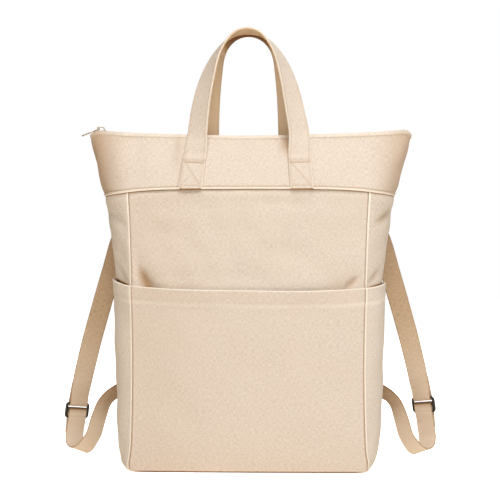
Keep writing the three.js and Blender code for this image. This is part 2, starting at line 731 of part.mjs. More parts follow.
// The slider holds the teeth between two plates and carries a bridge for the puller.
function zipSlider() {
  const right = SLIDER_LEFT_X + SLIDER_LENGTH;
  const middle = (SLIDER_LEFT_X + right) / 2;
  const teethTop = topEdge(middle) - TEETH_DROP;
  const topZ = teethTop + GAP + SLIDER_PLATE;
  const underZ = teethTop - TEETH_HEIGHT - GAP - SLIDER_PLATE - 0.3;
  const half = SLIDER_WIDTH / 2;
  const arch = new THREE.Shape();
  arch.moveTo(SLIDER_LEFT_X + 0.2, topZ - 0.4);
  arch.lineTo(SLIDER_LEFT_X + 0.2 + BRIDGE_LEG, topZ - 0.4);
  arch.lineTo(SLIDER_LEFT_X + 0.2 + BRIDGE_LEG, BRIDGE_GAP_TOP_Z - 0.8);
  arch.lineTo(SLIDER_LEFT_X + 1 + BRIDGE_LEG, BRIDGE_GAP_TOP_Z);
  arch.lineTo(right - 2.4 - BRIDGE_LEG, BRIDGE_GAP_TOP_Z);
  arch.lineTo(right - 0.4 - BRIDGE_LEG, topZ - 0.4);
  arch.lineTo(right - 0.4, topZ - 0.4);
  arch.lineTo(right - 2, BRIDGE_TOP_Z - 0.4);
  arch.lineTo(right - 3, BRIDGE_TOP_Z);
  arch.lineTo(SLIDER_LEFT_X + 1.4, BRIDGE_TOP_Z);
  arch.lineTo(SLIDER_LEFT_X + 0.2, BRIDGE_TOP_Z - 1);
  const bridge = new THREE.ExtrudeGeometry(arch, { depth: BRIDGE_WIDTH, bevelEnabled: false });
  bridge.translate(0, 0, -BRIDGE_WIDTH / 2);
  bridge.rotateX(Math.PI / 2);
  const pieces = [
    block(SLIDER_LEFT_X, right, half, topZ - SLIDER_PLATE, topZ),
    block(SLIDER_LEFT_X, right, half, underZ, underZ + SLIDER_PLATE),
    block(SLIDER_LEFT_X + 0.4, SLIDER_LEFT_X + SLIDER_POST_LENGTH, 1.5, underZ + 0.2, topZ - 0.2),
    bridge,
  ];
  return fromManifold(wasm.Manifold.union(pieces.map(toManifold)));
}

// The puller's crossbar lies under the bridge; the tab leans out over the corner.
function zipPuller() {
  const shape = new THREE.Shape();
  const end = PULLER_LENGTH - PULLER_HALF;
  shape.moveTo(-PULLER_BAR_HALF, -PULLER_NECK_HALF);
  shape.lineTo(PULLER_EYE, -PULLER_NECK_HALF);
  shape.lineTo(PULLER_EYE + 3, -PULLER_HALF);
  shape.lineTo(end, -PULLER_HALF);
  shape.absarc(end, 0, PULLER_HALF, -Math.PI / 2, Math.PI / 2);
  shape.lineTo(PULLER_EYE + 3, PULLER_HALF);
  shape.lineTo(PULLER_EYE, PULLER_NECK_HALF);
  shape.lineTo(-PULLER_BAR_HALF, PULLER_NECK_HALF);
  const eye = new THREE.Path();
  eye.moveTo(PULLER_BAR_HALF, -PULLER_EYE_HALF);
  eye.lineTo(PULLER_BAR_HALF, PULLER_EYE_HALF);
  eye.lineTo(PULLER_EYE, PULLER_EYE_HALF);
  eye.lineTo(PULLER_EYE, -PULLER_EYE_HALF);
  shape.holes.push(eye);
  const geometry = new THREE.ExtrudeGeometry(shape, {
    depth: PULLER_THICKNESS,
    bevelEnabled: false,
    curveSegments: 6,
  });
  geometry.translate(0, 0, -PULLER_THICKNESS / 2);
  geometry.rotateZ(Math.PI);
  geometry.rotateY(-rad(PULLER_DROP_DEG));
  return geometry.translate(PIVOT.x, 0, PIVOT.z);
}

const bag = new THREE.Group();

function add(name, geometry, finish) {
  const mesh = new THREE.Mesh(geometry, new THREE.MeshStandardMaterial(finish));
  mesh.name = name;
  bag.add(mesh);
}

const canvas = { color: 0xe8d8c2, roughness: 0.92, metalness: 0 };
const webbing = { color: 0xcfb496, roughness: 0.9, metalness: 0 };
const tape = { color: 0xe2d2ba, roughness: 0.85, metalness: 0 };
const gunmetal = { color: 0x3b3732, roughness: 0.35, metalness: 1 };
const nickel = { color: 0xc9c2b2, roughness: 0.3, metalness: 1 };

const rightSide = sidePanel(1, SIDE_FOLDS);
const rightPocket = sidePocket();
const frontYoke = yoke();
const frontTape = zipTape();
add("front_panel", frontPanel(FRONT_STEPS, FRONT_FOLDS), canvas);
add("back_panel", mirrored(frontPanel(BACK_STEPS, []), 1), canvas);
add("side_panel_right", rightSide, canvas);
add("side_panel_left", mirrored(sidePanel(-1, SIDE_FOLDS), 0), canvas);
add("base_panel", basePanel(), canvas);
add("yoke_front", frontYoke, canvas);
add("yoke_back", mirrored(frontYoke, 1), canvas);
add("pocket_front", frontPocket(), canvas);
add("pocket_side_right", rightPocket, canvas);
add("pocket_side_left", mirrored(rightPocket, 0), canvas);
add("handle_front", handle(HANDLES.front), canvas);
add("handle_back", handle(HANDLES.back), canvas);
add("zip_tape_front", frontTape, tape);
add("zip_tape_back", mirrored(frontTape, 1), tape);
add("zip_teeth", zipTeeth(), tape);
add("zip_slider", zipSlider(), nickel);
add("zip_puller", zipPuller(), nickel);
for (const side of STRAP_SIDES) {
  const strap = strapPath(side.reach);
  const middle = buckleLength(strap, side.buckleZ);
  const pitch = BUCKLE_BAR + BUCKLE_SLOT;
  const place = (geometry) => (side.mirrored ? mirrored(geometry, 0) : geometry);
  add(`shoulder_strap_${side.name}`, place(upperStrap(strap, middle - pitch)), webbing);
  add(`lower_strap_${side.name}`, place(lowerStrap(strap, middle, middle + pitch)), webbing);
  add(`strap_buckle_${side.name}`, place(buckle(strap, middle)), gunmetal);
}

export default bag;
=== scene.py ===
import math

import bpy
import numpy as np
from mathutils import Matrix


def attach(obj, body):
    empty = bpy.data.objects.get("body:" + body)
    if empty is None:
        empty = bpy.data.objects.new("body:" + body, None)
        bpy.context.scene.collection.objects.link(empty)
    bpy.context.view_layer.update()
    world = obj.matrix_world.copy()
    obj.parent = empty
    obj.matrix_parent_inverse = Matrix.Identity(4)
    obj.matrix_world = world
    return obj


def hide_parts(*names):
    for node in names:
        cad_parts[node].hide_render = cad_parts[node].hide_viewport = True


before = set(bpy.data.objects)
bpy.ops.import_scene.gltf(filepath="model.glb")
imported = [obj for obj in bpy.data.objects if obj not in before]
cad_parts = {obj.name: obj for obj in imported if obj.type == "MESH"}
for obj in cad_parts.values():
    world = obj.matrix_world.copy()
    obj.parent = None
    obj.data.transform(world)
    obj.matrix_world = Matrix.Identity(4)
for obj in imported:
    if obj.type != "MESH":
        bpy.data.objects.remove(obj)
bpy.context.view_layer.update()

mm = 0.001  # tables and formulas are in millimetres, meshes in metres
flipX, flipY = np.array([-1, 1, 1]), np.array([1, -1, 1])  # to the other side, and to the back


def table(columns, *rows):
    # a short table as one array for each named column
    return dict(zip(columns.split(), np.array(rows, float).T))


def track(at, value):
    # smooth curve through a table: cubic pieces that take the slope of the chord between their neighbours
    at, value = np.asarray(at, float), np.asarray(value, float)
    number = np.arange(len(at))
    before, after = np.maximum(number - 1, 0), np.minimum(number + 1, len(at) - 1)
    slope = (value[after] - value[before]) / (at[after] - at[before])

    def curve(x):
        i = np.clip(np.searchsorted(at, x) - 1, 0, len(at) - 2)
        h = at[i + 1] - at[i]
        s = np.clip((x - at[i]) / h, 0, 1)
        return (value[i] * (2 * s**3 - 3 * s**2 + 1) + slope[i] * h * (s**3 - 2 * s**2 + s)
                + value[i + 1] * (3 * s**2 - 2 * s**3) + slope[i + 1] * h * (s**3 - s**2))
    return curve


def smoothStep(x, low, high):
    # 0 up to low, 1 from high on, s s (3 - 2 s) between them
    s = np.clip((x - low) / (high - low), 0, 1)
    return s * s * (3 - 2 * s)


def fade(x, low, high):
    # the same the other way round: 1 up to low, 0 from high on
    return 1 - smoothStep(x, low, high)


def bell(x, middle, width):
    # e to the minus square of the distance from the middle, counted in widths
    return np.exp(-(((x - middle) / width) ** 2))


def bells(rows, x):
    # sum of the bells of a table
    return (rows["tall"] * bell(x[..., None], rows["at"], rows["wide"])).sum(-1)


def unit(v):
    return v / np.linalg.norm(v, axis=-1, keepdims=True)


def lengthAlong(line):
    # length of a line up to each of its points: the sum of the steps before it
    return np.concatenate([[0], np.cumsum(np.linalg.norm(np.diff(line, axis=0), axis=1))])


def fromEnds(run):
    # distance to the nearer end of a run
    return np.minimum(run, run[..., -1:] - run)


def valuesAt(at, run, rows):
    # rows of three numbers, read at places along their run
    return np.stack([np.interp(at, run, rows[:, c]) for c in range(3)], -1)


# Camera: level with the middle of the bag, a little to its right
cameraView = dict(distance=1.8, azimuth=2.0, height=0.271, aimX=0.00075, frameWidth=0.625, sensor=36.0)
turn = math.radians(cameraView["azimuth"])
cameraData = bpy.data.cameras.new("photoCamera")
cameraData.sensor_width = cameraView["sensor"]
cameraData.lens = cameraView["sensor"] * cameraView["distance"] / cameraView["frameWidth"]
camera = bpy.data.objects.new("photoCamera", cameraData)
camera.location = (cameraView["aimX"] + cameraView["distance"] * math.sin(turn),
                   -cameraView["distance"] * math.cos(turn), cameraView["height"])
camera.rotation_euler = (math.pi / 2, 0, turn)
bpy.context.scene.collection.objects.link(camera)
bpy.context.scene.camera = camera
print("camera at", [round(c, 3) for c in camera.location])


# Form of the bag: a ring of two flat arcs (front, back) and two side arcs at each height
bagForm = dict(cloth=1.5, gap=0.3, seamInset=0.08, yokeSeamZ=345, topZ=413, seamRise=-3.4, sideRise=-7.2,
               riseStartZ=263, droopPower=5, mitrePower=6, endReach=2.2, endLowZ=352, endHighZ=392)
clothThick, sewnGap = bagForm["cloth"], bagForm["gap"]
yokeSeamZ, topZ = bagForm["yokeSeamZ"], bagForm["topZ"]
levels = table(
    "z seamX seamY bulge sideX arc",
    (0, 143.8, 45.5, 2.0, 147.6, 60), (5, 144.8, 47.6, 3.0, 152.4, 58), (11, 144.8, 48.8, 4.2, 155.2, 56),
    (29, 142.4, 49.8, 6.5, 159.4, 54), (73, 140.8, 50.4, 9.5, 163.4, 53), (133, 140.2, 50.5, 11.0, 164.6, 53),
    (193, 141.2, 50.0, 11.0, 165.0, 52), (238, 142.6, 49.0, 11.0, 166.2, 54),
    (293, 144.4, 46.2, 11.0, 173.8, 65), (345, 146.6, 42.8, 10.0, 179.8, 75),
    (361, 146.2, 37.4, 8.6, 184.2, 80), (378, 145.4, 28.6, 7.0, 188.8, 84),
    (396, 144.2, 17.6, 5.0, 194.2, 87), (413, 143.0, 9.0, 2.0, 198.0, 88))
topRows = table(
    "x z",
    (-200, 415.2), (-196, 418.4), (-192, 419.8), (-187, 420.1), (-150, 417.4), (-86, 414.8), (0, 413.0),
    (86, 414.6), (150, 417.0), (183, 419.4), (193, 420.2), (197, 418.6), (200, 414.6))
levelTracks = {name: track(levels["z"], column) for name, column in levels.items() if name != "z"}
topEdge = track(topRows["x"], topRows["z"])


def ringAt(z):
    # sizes of the ring at a height, read from the tracks of the table
    return {name: curve(z) for name, curve in levelTracks.items()}


def flatUnit(x, y):
    size = np.hypot(x, y)
    return x / size, y / size


def frontOut(ring, t):
    # level direction square to the front arc, whose slope is 2 bulge t over seamX
    return flatUnit(2 * ring["bulge"] * t, -ring["seamX"])


def sideOut(ring, k):
    # level direction square to the side ellipse, from its two half axes
    edge = np.radians(ring["arc"])
    reach = (ring["sideX"] - ring["seamX"]) / (1 - np.cos(edge))
    return flatUnit(ring["seamY"] * np.cos(edge * k) / np.sin(edge), reach * np.sin(edge * k))


def mitre(own, ownEdge, otherEdge, share):
    # near the corner seam the outward direction leans to the half angle between the two walls
    half = flatUnit(ownEdge[0] + otherEdge[0], ownEdge[1] + otherEdge[1])
    pull = np.abs(share) ** bagForm["mitrePower"]
    return flatUnit(own[0] + (half[0] - ownEdge[0]) * pull, own[1] + (half[1] - ownEdge[1]) * pull)


def onFront(ring, t):
    # front arc, t from -1 at the left seam to 1 at the right: x = seamX t, y = -(seamY + bulge (1 - t t))
    end = np.where(t < 0, -1.0, 1.0)
    sx, sy = sideOut(ring, -1.0)
    nx, ny = mitre(frontOut(ring, t), frontOut(ring, end), (end * sx, sy), t)
    return ring["seamX"] * t, -(ring["seamY"] + ring["bulge"] * (1 - t * t)), nx, ny


def onSide(ring, k):
    # right side arc, k from -1 at the front seam to 1 at the back: an ellipse piece of the ring's arc angle
    edge = np.radians(ring["arc"])
    end = np.where(k < 0, -1.0, 1.0)
    fx, fy = frontOut(ring, 1.0)
    nx, ny = mitre(sideOut(ring, k), sideOut(ring, end), (fx, -end * fy), k)
    share = (np.cos(edge * k) - np.cos(edge)) / (1 - np.cos(edge))
    return (ring["seamX"] + (ring["sideX"] - ring["seamX"]) * share,
            ring["seamY"] * np.sin(edge * k) / np.sin(edge), nx, ny)


topRing = ringAt(float(topZ))


def wallZ(z, seamShare, sideShare, topX):
    # rows below the yoke droop to the sides, rows above it reach for the top edge
    low = bagForm["seamRise"] * seamShare + (bagForm["sideRise"] - bagForm["seamRise"]) * sideShare
    below = z + low * smoothStep(z, bagForm["riseStartZ"], yokeSeamZ)
    up = (z - yokeSeamZ) / (topZ - yokeSeamZ)
    above = z + low * (1 - up) + (topEdge(topX) - topZ) * up
    return np.where(z <= yokeSeamZ, below, above)


def frontZ(t, z):
    # height of the front wall's rows: they droop with a power of the distance from the middle
    return wallZ(z, np.abs(t) ** bagForm["droopPower"], 0, topRing["seamX"] * t)


def frontWall(t, z, out):
    # point of the front wall, moved outward by out
    x, y, nx, ny = onFront(ringAt(z), t)
    return np.stack([x + nx * out, y + ny * out, frontZ(t, z)], -1)


def sideWall(k, z, out, sign):
    # the same on a side wall; the right end of the yoke is a little fuller
    x, y, nx, ny = onSide(ringAt(z), k)
    height = wallZ(z, 1, 1 - k * k, sign * (onSide(topRing, k)[0] + clothThick))
    fuller = bagForm["endReach"] * (sign > 0) * smoothStep(z, bagForm["endLowZ"], bagForm["endHighZ"])
    return np.stack([sign * (x + nx * out + fuller * (1 - k * k)), y + ny * out, height], -1)


def hollow(folds, along, z):
    # depth of the hollows: each is a long bell, turned by its run
    u, v = along[..., None] - folds["x"], z[..., None] - folds["z"]
    c, s = np.cos(np.radians(folds["run"])), np.sin(np.radians(folds["run"]))
    long, wide = (u * c + v * s) / folds["long"], (v * c - u * s) / folds["wide"]
    return (folds["deep"] * np.exp(-long**2 - wide**2)).sum(-1)


def ripple(seed, a, b, shortest, longest, depth, waves=14):
    # uneven cloth: a sum of plane waves with random lengths, directions and phases
    rng = np.random.default_rng(seed)
    length = np.exp(rng.uniform(math.log(shortest), math.log(longest), waves))
    angle, phase = rng.uniform(0, math.pi, waves), rng.uniform(0, 2 * math.pi, waves)
    across = (a[..., None] * np.cos(angle) + b[..., None] * np.sin(angle)) / length
    return depth * np.cos(2 * math.pi * across + phase).sum(-1) * math.sqrt(2 / waves)


def edgeRound(distance, radius):
    # share of the full thickness at a distance from a rounded edge: a quarter circle
    return np.sqrt(np.clip(1 - (1 - np.clip(distance / radius, 0, 1)) ** 2, 0, 1))


def spaced(low, high, step, fine=(), fineLow=True, fineHigh=True):
    # even steps with a few close ones at the ends
    count = max(2, int(round((high - low) / step)))
    parts = [np.linspace(low, high, count + 1)]
    if fineLow:
        parts.append(low + np.array(fine))
    if fineHigh:
        parts.append(high - np.array(fine))
    return np.unique(np.round(np.concatenate(parts), 4))


def gridQuads(across, along, start, turned=False):
    # quads of a grid of vertices numbered start + i * along + j
    i, j = np.meshgrid(np.arange(across - 1), np.arange(along - 1), indexing="ij")
    a = (start + i * along + j).ravel()
    quads = np.stack([a, a + along, a + along + 1, a + 1], -1)
    return quads[:, ::-1] if turned else quads


def makeObject(name, points, faces, uv=None, smooth=True, **marks):
    # points in millimetres to a mesh at the origin, with a flat cloth map in metres and marks on its points
    mesh = bpy.data.meshes.new(name)
    mesh.from_pydata((points * mm).tolist(), [], faces if isinstance(faces, list) else faces.tolist())
    mesh.update()
    if uv is not None:
        corner = np.zeros(len(mesh.loops), np.int32)
        mesh.loops.foreach_get("vertex_index", corner)
        layer = mesh.uv_layers.new(name="cloth")
        layer.data.foreach_set("uv", (uv[corner] * mm).astype(np.float32).ravel())
    for mark, value in marks.items():
        mesh.attributes.new(mark, "FLOAT", "POINT").data.foreach_set("value", value.astype(np.float32))
    mesh.polygons.foreach_set("use_smooth", np.full(len(mesh.polygons), smooth))
    piece = bpy.data.objects.new(name, mesh)
    bpy.context.scene.collection.objects.link(piece)
    return piece


def clothShell(name, middle, half, uv, crease=0.0, tan=(0.0, 0.0), inside=None):
    # closed cloth: the middle surface moved half the thickness to either side along its own normal
    across, along = half.shape
    normal = unit(np.cross(np.gradient(middle, axis=0), np.gradient(middle, axis=1)))
    lift = normal * np.maximum(half, 0.02)[..., None]
    points = np.concatenate([(middle + lift).reshape(-1, 3), (middle - lift).reshape(-1, 3)])
    size = across * along
    number = np.arange(size).reshape(across, along)
    edge = np.concatenate([number[:-1, 0], number[-1, :-1], number[:0:-1, -1], number[0, :0:-1]])
    following = np.roll(edge, -1)
    rim = np.stack([following, edge, edge + size, following + size], -1)
    faces = np.concatenate([gridQuads(across, along, 0), gridQuads(across, along, size, True), rim])
    sides = (crease, crease if inside is None else inside)
    shade, tone = (np.concatenate([np.broadcast_to(part, half.shape).ravel() for part in pair])
                   for pair in (sides, tan))
    return makeObject(name, points, faces, np.concatenate([uv.reshape(-1, 2)] * 2), crease=shade, tan=tone)


def mirroredY(middle):
    # the same surface on the back, with its columns turned round so that it still faces outward
    return middle[::-1] * flipY


def cut(u, v):
    # flat cloth map from its two measures
    return np.stack(np.broadcast_arrays(u, v), -1)


def put(piece, material, slot, *nodes, body="bag"):
    # finish, body and the solids that the piece stands for; the slot is not used
    piece.data.materials.append(material)
    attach(piece, body)
    if nodes:
        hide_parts(*nodes)
    return piece


# Finishes
def newMaterial(name):
    # a material, its nodes and its shader
    material = bpy.data.materials.new(name)
    material.use_nodes = True
    return material, material.node_tree, material.node_tree.nodes["Principled BSDF"]


def mathNode(tree, operation, *values, clamp=False):
    # one step of arithmetic on numbers or on other nodes' outputs
    made = tree.nodes.new("ShaderNodeMath")
    made.operation = operation
    made.use_clamp = clamp
    for socket, value in zip(made.inputs, values):
        if isinstance(value, (int, float)):
            socket.default_value = value
        else:
            tree.links.new(value, socket)
    return made.outputs[0]


def mixColour(tree, factor, low, high):
    # low where the factor is 0, high where it is 1; each a colour or a node's output
    made = tree.nodes.new("ShaderNodeMix")
    made.data_type = "RGBA"
    tree.links.new(factor, made.inputs[0])
    for socket, value in ((made.inputs[6], low), (made.inputs[7], high)):
        if isinstance(value, tuple):
            socket.default_value = (*value, 1)
        else:
            tree.links.new(value, socket)
    return made.outputs[2]


def noiseNode(tree, vector, scale, detail=2.0, roughness=0.5):
    made = tree.nodes.new("ShaderNodeTexNoise")
    for socket, value in (("Scale", scale), ("Detail", detail), ("Roughness", roughness)):
        made.inputs[socket].default_value = value
    tree.links.new(vector, made.inputs["Vector"])
    return made.outputs[0]


def stretched(tree, vector, x, y):
    made = tree.nodes.new("ShaderNodeMapping")
    made.inputs["Scale"].default_value = (x, y, 1)
    tree.links.new(vector, made.inputs["Vector"])
    return made.outputs[0]


def markNode(tree, name):
    # a mark that the mesh carries on its points
    made = tree.nodes.new("ShaderNodeAttribute")
    made.attribute_name = name
    return made.outputs["Fac"]


weaveForm = dict(slubLong=230, slubFine=1250, cloudScale=22.0, cloudDetail=3.0, crossing=2.0)


def makeWeaveGroup():
    # plain weave: warp and weft threads pass over each other in turn, with slubs along both
    group = bpy.data.node_groups.new("plainWeave", "ShaderNodeTree")
    group.interface.new_socket("Cloth", in_out="INPUT", socket_type="NodeSocketVector")
    group.interface.new_socket("Threads", in_out="INPUT", socket_type="NodeSocketFloat")
    for name in ("Height", "Slub", "Cloud"):
        group.interface.new_socket(name, in_out="OUTPUT", socket_type="NodeSocketFloat")
    source, target = group.nodes.new("NodeGroupInput"), group.nodes.new("NodeGroupOutput")
    cloth, threads = source.outputs["Cloth"], source.outputs["Threads"]
    split = group.nodes.new("ShaderNodeSeparateXYZ")
    group.links.new(cloth, split.inputs[0])
    waves = []
    for axis in (0, 1):
        number = mathNode(group, "MULTIPLY", split.outputs[axis], threads)
        waves.append(mathNode(group, "SINE", mathNode(group, "MULTIPLY", number, math.pi)))
    crossed = mathNode(group, "MULTIPLY", waves[0], waves[1])
    over = mathNode(group, "MULTIPLY_ADD", crossed, weaveForm["crossing"], 0.5, clamp=True)
    warp, weft = (mathNode(group, "ABSOLUTE", wave) for wave in waves)
    mixed = group.nodes.new("ShaderNodeMix")
    for value, socket in ((over, mixed.inputs[0]), (weft, mixed.inputs[2]), (warp, mixed.inputs[3])):
        group.links.new(value, socket)
    long, fine = weaveForm["slubLong"], weaveForm["slubFine"]
    along, across = (noiseNode(group, stretched(group, cloth, *scale), 1.0)
                     for scale in ((long, fine), (fine, long)))
    slub = mathNode(group, "MULTIPLY", mathNode(group, "ADD", along, across), 0.5)
    cloud = noiseNode(group, cloth, weaveForm["cloudScale"], weaveForm["cloudDetail"])
    for name, value in (("Height", mixed.outputs[0]), ("Slub", slub), ("Cloud", cloud)):
        group.links.new(value, target.inputs[name])
    return group


weaveGroup = makeWeaveGroup()
clothGloss = dict(rough=0.82, roughSpread=0.16, specular=0.2, sheenRough=0.6, cloudFrom=0.35)


def clothMaterial(name, finish):
    # the shading mark: painted shade from 0 to 1 in seams, hollows and under parts, on to 2 for painted
    # shadow in dark gaps, and below 0 a painted highlight on lit edges and rims
    # tan: inner faces of the handles mixed towards a darker, warmer tan
    material, tree, shader = newMaterial(name)
    place = tree.nodes.new("ShaderNodeUVMap")
    place.uv_map = "cloth"
    weave = tree.nodes.new("ShaderNodeGroup")
    weave.node_tree = weaveGroup
    weave.inputs["Threads"].default_value = finish["threads"]
    tree.links.new(place.outputs[0], weave.inputs["Cloth"])
    slub, cloud = weave.outputs["Slub"], weave.outputs["Cloud"]
    grain = mathNode(tree, "MULTIPLY_ADD", slub, finish["grain"], 0.5 - 0.5 * finish["grain"], clamp=True)
    clouded = mathNode(tree, "MULTIPLY_ADD", cloud, finish["cloud"],
                       -clothGloss["cloudFrom"] * finish["cloud"], clamp=True)
    crease, tan = markNode(tree, "crease"), markNode(tree, "tan")
    # below 0 the mark mixes in a painted highlight, from 0 to 1 painted shade, and from 1 to 2 a painted
    # shadow colour
    paintedHighlight = mathNode(tree, "MULTIPLY", crease, -1.0, clamp=True)
    deep = mathNode(tree, "MULTIPLY", crease, 1.0, clamp=True)
    gap = mathNode(tree, "SUBTRACT", crease, 1.0, clamp=True)
    colour = mixColour(tree, grain, finish["shade"], finish["colour"])
    for mask, layer in ((clouded, "warm"), (tan, "tan"), (paintedHighlight, "edge"), (deep, "deep"), (gap, "gap")):
        colour = mixColour(tree, mask, colour, finish[layer])
    tree.links.new(colour, shader.inputs["Base Color"])
    height = mathNode(tree, "ADD", mathNode(tree, "MULTIPLY", weave.outputs["Height"], finish["weaveDepth"]),
                      mathNode(tree, "MULTIPLY", slub, finish["slubDepth"]))
    bump = tree.nodes.new("ShaderNodeBump")
    bump.inputs["Strength"].default_value = finish["bump"]
    bump.inputs["Distance"].default_value = finish["relief"] * mm
    tree.links.new(height, bump.inputs["Height"])
    tree.links.new(bump.outputs[0], shader.inputs["Normal"])
    rough = mathNode(tree, "MULTIPLY_ADD", slub, clothGloss["roughSpread"], clothGloss["rough"])
    tree.links.new(rough, shader.inputs["Roughness"])
    shader.inputs["Specular IOR Level"].default_value = clothGloss["specular"]
    shader.inputs["Sheen Weight"].default_value = finish["sheen"]
    shader.inputs["Sheen Roughness"].default_value = clothGloss["sheenRough"]
    return material


# edge, deep and gap are painted colours that the shading mark mixes in: painted highlight, painted shade and
# painted shadow
canvasFinish = dict(colour=(0.845, 0.757, 0.672), shade=(0.62, 0.515, 0.415), warm=(0.78, 0.66, 0.54),
                    edge=(0.98, 0.905, 0.79), deep=(0.44, 0.26, 0.12), gap=(0.17, 0.06, 0.006),
                    tan=(0.80, 0.60, 0.385), threads=1500, grain=2.9, cloud=0.5,
                    weaveDepth=0.6, slubDepth=0.9, bump=0.6, relief=0.4, sheen=0.06)
webbingFinish = dict(colour=(0.71, 0.53, 0.355), shade=(0.425, 0.285, 0.17), warm=(0.58, 0.41, 0.26),
                     edge=(0.84, 0.70, 0.56), deep=(0.30, 0.165, 0.07), gap=(0.10, 0.05, 0.02),
                     tan=(0.70, 0.51, 0.335), threads=1100, grain=2.8, cloud=0.6,
                     weaveDepth=0.9, slubDepth=0.6, bump=0.6, relief=0.4, sheen=0.08)
tapeFinish = dict(canvasFinish, threads=2200, colour=(0.78, 0.66, 0.53), bump=0.4)
threadFinish = dict(canvasFinish, threads=3000, colour=(0.84, 0.74, 0.62), shade=(0.72, 0.61, 0.49), bump=0.3)
canvas = clothMaterial("undyedCanvas", canvasFinish)
webbing = clothMaterial("undyedWebbing", webbingFinish)
tapeCloth = clothMaterial("zipTape", tapeFinish)
sewingThread = clothMaterial("sewingThread", threadFinish)
metalWear = dict(scale=260.0, detail=4.0, roughness=0.6)


def metalMaterial(name, colour, dark, roughness, spread=0.2):
    # worn metal: fine spots change its colour, and its roughness by the spread
    material, tree, shader = newMaterial(name)
    wear = noiseNode(tree, tree.nodes.new("ShaderNodeTexCoord").outputs["Object"], **metalWear)
    tree.links.new(mixColour(tree, wear, dark, colour), shader.inputs["Base Color"])
    rough = mathNode(tree, "MULTIPLY_ADD", wear, spread, roughness - spread / 2)
    tree.links.new(rough, shader.inputs["Roughness"])
    shader.inputs["Metallic"].default_value = 1.0
    return material


gunmetal = metalMaterial("gunmetal", (0.10, 0.095, 0.085), (0.05, 0.045, 0.04), 0.34)
nickel = metalMaterial("agedNickel", (0.58, 0.51, 0.42), (0.30, 0.25, 0.195), 0.30)
print("finishes made")


# Large panels under the yoke and the pockets
pocketForm = dict(footZ=0.2, rimZ=221.5, tall=228, seamRise=6.0, sideRise={-1: 13.6, 1: 10.2}, sideBow=1.7,
                  rimLift=1.0, rimDrop=2.4, gapeFront=6.4, gapeSide=2.4, gapeBow=0.8, gapeFrom=0.3, hem=20.0,
                  hemThick=0.7, hemStep=0.35, wave=0.5, footFull=2.2, cornerFull=3.4)
panelForm = dict(low=0.3, high=353.0, reach=144.0, sideReach=58.0, sideInset=0.0812, sideGirth=1.18,
                 ridge=0.6, ridgeAt=1.3, ridgeWide=0.9, groove=0.35, grooveWide=1.2, pucker=0.16,
                 puckerEvery=9.0, puckerReach=6.0, wave=0.45, cornerLift=2.4, cornerWide=9.0,
                 cornerHigh=24.0, mouthSwell=2.8)
panelBands = dict(foldsZ=183, rimLow=222, rimHigh=242, underYoke=10)  # where the rows lie closer
frontFolds = table(
    "x z run long wide deep",
    (-129, 238, -48, 26, 10, 4.4), (-131, 235, -44, 18, 7.4, 3.2), (-139, 227, -48, 9, 3.6, -1.2),
    (-138, 250, -46, 14, 5.5, 1.7), (117, 230, 20, 26, 8, 2.6), (127, 231, 42, 16, 4.6, 3.1),
    (-40, 238, 4, 60, 12, 0.8), (62, 261, -18, 46, 14, 1.2), (-60, 323, 2, 70, 7, 0.5),
    (70, 325, -3, 60, 7, 0.5), (-100, 293, -35, 30, 8, 0.8), (110, 283, 52, 26, 7, 0.8))
backFolds = table("x z run long wide deep", (-60, 143, 30, 60, 18, 1.6), (70, 233, -40, 60, 16, 1.6))
sideFolds = table("x z run long wide deep", (-22, 317, 40, 20, 6.5, 3.4), (14, 285, -32, 20, 8, 1.2),
                  (-33, 239, 42, 15, 5, 2.6), (10, 325, 12, 24, 6, 0.8), (-24, 272, 48, 22, 7, 1.0))
frontUnderYoke = table("at wide tall", (8, 5, 0.7), (0, 2, -0.4))  # swell and draw-in below the yoke seam
sideUnderYoke = table("at wide tall", (8, 8, 1.1), (0, 2, -0.2))
mouthBand = table("at wide tall", (-98, 34, 0.14), (92, 34, 0.06))  # painted shade across the pocket's mouth
# painted shade at the two hollows in the pale painted line
mouthLine = table("at wide tall", (-123, 8, 0.5), (112, 16, 0.4))
# painted shading of the front and back panels: shade in the hollows, along the corner seams and under the
# yoke and the handles' feet; on the front also more to the left, and over the pocket's mouth a shaded band
# and a pale line
frontShade = dict(dent=(0.14, 1.8, 0.7), seam=0.8, yoke=1.25, foot=0.9, left=0.07, band=0.09, mouth=-0.2)
# painted shading of the gussets: painted shadow over the pocket's rim, less on the right, shade in the
# hollows, and from ridgeLow up a painted highlight on the seam ridges
sideShade = dict(dent=(0.2, 0.9, 0.6), rim=1.6, rimSoft=0.25, rimLess=0.2, ridgeLow=224, ridgeHigh=231)
ridgeHighlight = dict(middle=1.2, width=0.75)  # painted highlight on the seam ridge
seamFine = (0, 0.12, 0.35, 0.7, 1.1, 1.6, 2.2, 3.0, 4.0, 5.5, 7.5)
footMiddles, footHalf = np.array([-70.0, 66.0]), 14.0  # the front handle's sewn feet
leftShadeRamp = (30, 120)  # painted shade, as the left lies further from the light: how far left the front starts to darken, and is darkest


def frontRim(t):
    # a shallow bow, a little fuller left of the middle and hanging lower to the right
    return (pocketForm["rimZ"] + pocketForm["seamRise"] * t * t + pocketForm["rimLift"] * bell(t, -0.12, 0.35)
            - pocketForm["rimDrop"] * smoothStep(t, 0, 1))


def sideRim(k, sign):
    # a higher bow between the corner seams, lower towards the front on the right
    rise = pocketForm["sideRise"][sign] - pocketForm["seamRise"]
    drop = pocketForm["rimDrop"] * (sign > 0) * smoothStep(-k, -1, 1)
    return pocketForm["rimZ"] + pocketForm["seamRise"] - drop + rise * (1 - k * k) ** pocketForm["sideBow"]


def seamPucker(distance, along, seed=7):
    # cloth drawn up by the stitches: short waves along the seam that fade away from it
    wave = np.cos(2 * math.pi * along / panelForm["puckerEvery"]
                  + ripple(seed, along, np.zeros_like(distance), 20, 60, 1.6, 6))
    return panelForm["pucker"] * wave * np.exp(-distance / panelForm["puckerReach"])


